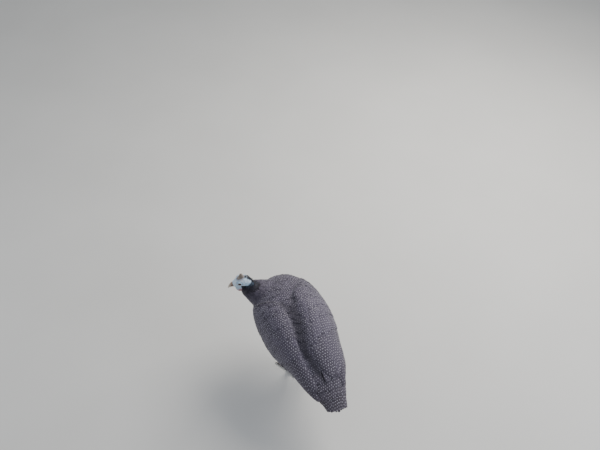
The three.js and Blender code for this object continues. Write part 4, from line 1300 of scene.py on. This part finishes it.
def casqueHelmet():
    # a bony helmet, narrow from side to side, with a blunt ridge that leans back
    columns = [smoothThrough(casqueLevels, k) for k in (1, 2, 3)]
    rings = []
    for z in np.linspace(casqueLevels[0][0], casqueLevels[-1][0], casqueShape["rings"]):
        long, wide, back = (column(z) for column in columns)
        ring = []
        for k in range(casqueShape["around"]):
            turn = 2 * math.pi * k / casqueShape["around"]
            waves = (math.cos(turn), math.sin(turn))
            c, s = (math.copysign(abs(v) ** casqueShape["roundness"], v) for v in waves)
            ring.append(fromHead(wide * c, back + long * s, z))
        rings.append(ring)
    rings.append([fromHead(0, *casqueShape["top"])])
    casque = loft("casque_horn", rings)
    local = headLocal(pointsOf(casque))
    around = np.arctan2(local[:, 1] - 3, local[:, 0] * 1.6)
    ridges = np.sin(around * 13 + 0.5 * np.sin(local[:, 2] * 0.9)) * np.sin(local[:, 2] * 0.8 + around * 2)
    knobs = np.sin(local[:, 1] * 2.1 + local[:, 2]) * np.sin(local[:, 2] * 1.9 - local[:, 0] * 1.7)
    pushOut(casque, casqueShape["ridges"] * ridges + casqueShape["knobs"] * knobs)
    return casque


placed(casqueHelmet(), "casque", casqueHorn)

# stations of each half from its tip, as for the body
billHalves = {
    "bill_upper": [(-41.5, -12.2, 0, 0, 0), (-39.8, -9.8, 1.4, 2.3, 1.5), (-36, -6.7, 3.2, 4.5, 0.5),
                   (-30, -4.1, 5.2, 6, 0.3), (-24, -3.2, 6.6, 6.9, 0.4), (-16, -3.0, 7, 7.2, 0.6)],
    "bill_lower": [(-38.2, -9.3, 0, 0, 0), (-36, -7.5, 1.8, 0.1, 2.5), (-30, -4.75, 4, 0.1, 4.4),
                   (-24, -3.95, 5.4, 0.1, 5.4), (-16, -3.9, 6, 0.1, 5.6)],
}
# place and size of the nostril's hole and of the flap over it, and how deep and high they are
nostril = {"pit": ((5.2, -27.6, -0.4), (2.6, 2.3, 0.95)), "flap": ((4.6, -27, 0.8), (2, 2.6, 0.8)),
           "depth": 1.0, "rise": 0.45}


def billHalf(node):
    # a horny half that comes out of the skin's rim, with a ridge along the top and a nostril on each side
    stations = billHalves[node]
    form, first = formOf(stations), stations[0][0]
    rings = [[fromHead(0, first, form["level"](first))]]
    for t in np.linspace(0.03, 1, 34):
        rings.append([headPlace @ p for p in formRing(form, first + (-17 - first) * t ** 1.4, 48, 1.9)])
    half = loft(node + "_horn", rings)
    local = headLocal(pointsOf(half))
    pit = np.zeros(len(local))
    if node == "bill_upper":
        oneSide = np.column_stack([np.abs(local[:, 0]), local[:, 1:]])
        # the nostril's pit is sunk a little and painted dark inside as shade
        pit = np.exp(-gapTo(oneSide, *nostril["pit"]) ** 4)
        flap = hump(gapTo(oneSide, *nostril["flap"]), 1)
        pushOut(half, nostril["rise"] * flap - nostril["depth"] * pit)
    middle = np.array([form["level"](y) for y in local[:, 1]])
    fromEdge = local[:, 2] - middle if node == "bill_upper" else middle - local[:, 2]
    # painted shade: the cutting edges are painted dark along the seam where they meet
    pit = np.maximum(pit, 0.85 * (1 - ease(fromEdge, 0.1, 0.75)))
    writeAttribute(half, "pit", pit)
    writeAttribute(half, "tip", ease(-local[:, 1], 22, 42))
    return half


billHorn = billMaterial()
for node in billHalves:
    placed(billHalf(node), node, billHorn)

wattleSkin = wattleMaterial()
for side, word in ((1, "left"), (-1, "right")):
    flap = copyOf("wattle_" + word, "wattle_flap_" + word)
    remeshed(flap, 0.45, 5)
    local = headLocal(pointsOf(flap))
    folds = 0.14 * np.sin(local[:, 1] * 1.1 + 0.5 * local[:, 2]) - 0.42
    pushOut(flap, folds * ease(-local[:, 2], 6, 12))
    inwards = headPlace.to_3x3() @ Vector((-1.7 * side, 0.3, 1.6))  # its root sits in the cheek
    movePoints(flap, pointsOf(flap) + ease(local[:, 2], -17, -10)[:, None] * np.array(inwards))
    writeAttribute(flap, "tip", ease(-local[:, 2], 8, 26))
    placed(flap, "wattle_" + word, wattleSkin)
    for toe in ("middle", "inner", "outer", "hind"):
        claw = copyOf("claw_" + toe + "_" + word, "claw_" + toe + "_horn_" + word)
        finishWith(claw, "SUBSURF", levels=2, render_levels=2)
        placed(claw, "claw_" + toe + "_" + word, clawHorn)


# Floor, light and camera

print("floor, light and camera")


def floor():
    bpy.ops.object.select_all(action="DESELECT")
    bpy.ops.mesh.primitive_plane_add(size=90, location=(0, 0, 0))
    ground = bpy.context.object
    ground.name = "floor"
    material, add, coords = newMaterial("paleFloorPaint", Roughness=0.9, IOR=1.45)
    cloud = add("TexNoise", {"Vector": coords, "Scale": 3.0, "Detail": 3.0})
    paint = add("ValToRGB", [cloud], stops=[(0.3, "#d9d9d5"), (0.7, "#dededa")])
    setMaterial(ground, finished(material, paint))


def areaLight(name, place, target, size, power, colour):
    light = bpy.data.lights.new(name, "AREA")
    light.size, light.energy, light.color = size, power, hexColour(colour)[:3]
    lamp = newThing(name, light)
    lamp.location = place
    lamp.rotation_euler = (Vector(target) - Vector(place)).to_track_quat("-Z", "Y").to_euler()


view = {
    "pitch": math.radians(50), "turn": math.radians(31.57), "focal": 600, "distance": 1525.7,
    "subjectPixel": (299.5, 330.0), "subject": Vector((0, 0, 205)), "imageSize": (600, 450), "sensor": 36,
}


def camera():
    # the angle of the photograph: from above and behind, with the bird low in the frame
    away = Vector((-math.sin(view["turn"]), -math.cos(view["turn"]), 0))
    right = away.cross(Vector((0, 0, 1)))
    ahead = away * math.cos(view["pitch"]) - Vector((0, 0, math.sin(view["pitch"])))
    up = right.cross(ahead)
    x, y = (pixel - size / 2 for pixel, size in zip(view["subjectPixel"], view["imageSize"]))
    ray = (ahead + right * x / view["focal"] - up * y / view["focal"]).normalized()
    eye = bpy.data.cameras.new("camera")
    eye.sensor_width, eye.lens = view["sensor"], view["sensor"] * view["focal"] / view["imageSize"][0]
    holder = newThing("camera", eye)
    holder.location = inFrame(view["subject"] - ray * view["distance"])
    holder.rotation_euler = Matrix((right, up, -ahead)).transposed().to_euler()
    bpy.context.scene.camera = holder


floor()
world = bpy.data.worlds.new("studio")
world.use_nodes = True
world.node_tree.nodes["Background"].inputs["Color"].default_value = hexColour("#e3e7ee")
world.node_tree.nodes["Background"].inputs["Strength"].default_value = 0.53
bpy.context.scene.world = world
areaLight("overhead", (-1.25, -0.35, 1.5), (0, 0, 0.15), 1.1, 36, "#fffaf4")
areaLight("side", (1.5, -0.9, 0.9), (0, 0, 0.2), 1.0, 5, "#eef3ff")
areaLight("back", (-1.0, 1.4, 0.8), (0, 0, 0.2), 0.9, 9, "#e9efff")
camera()
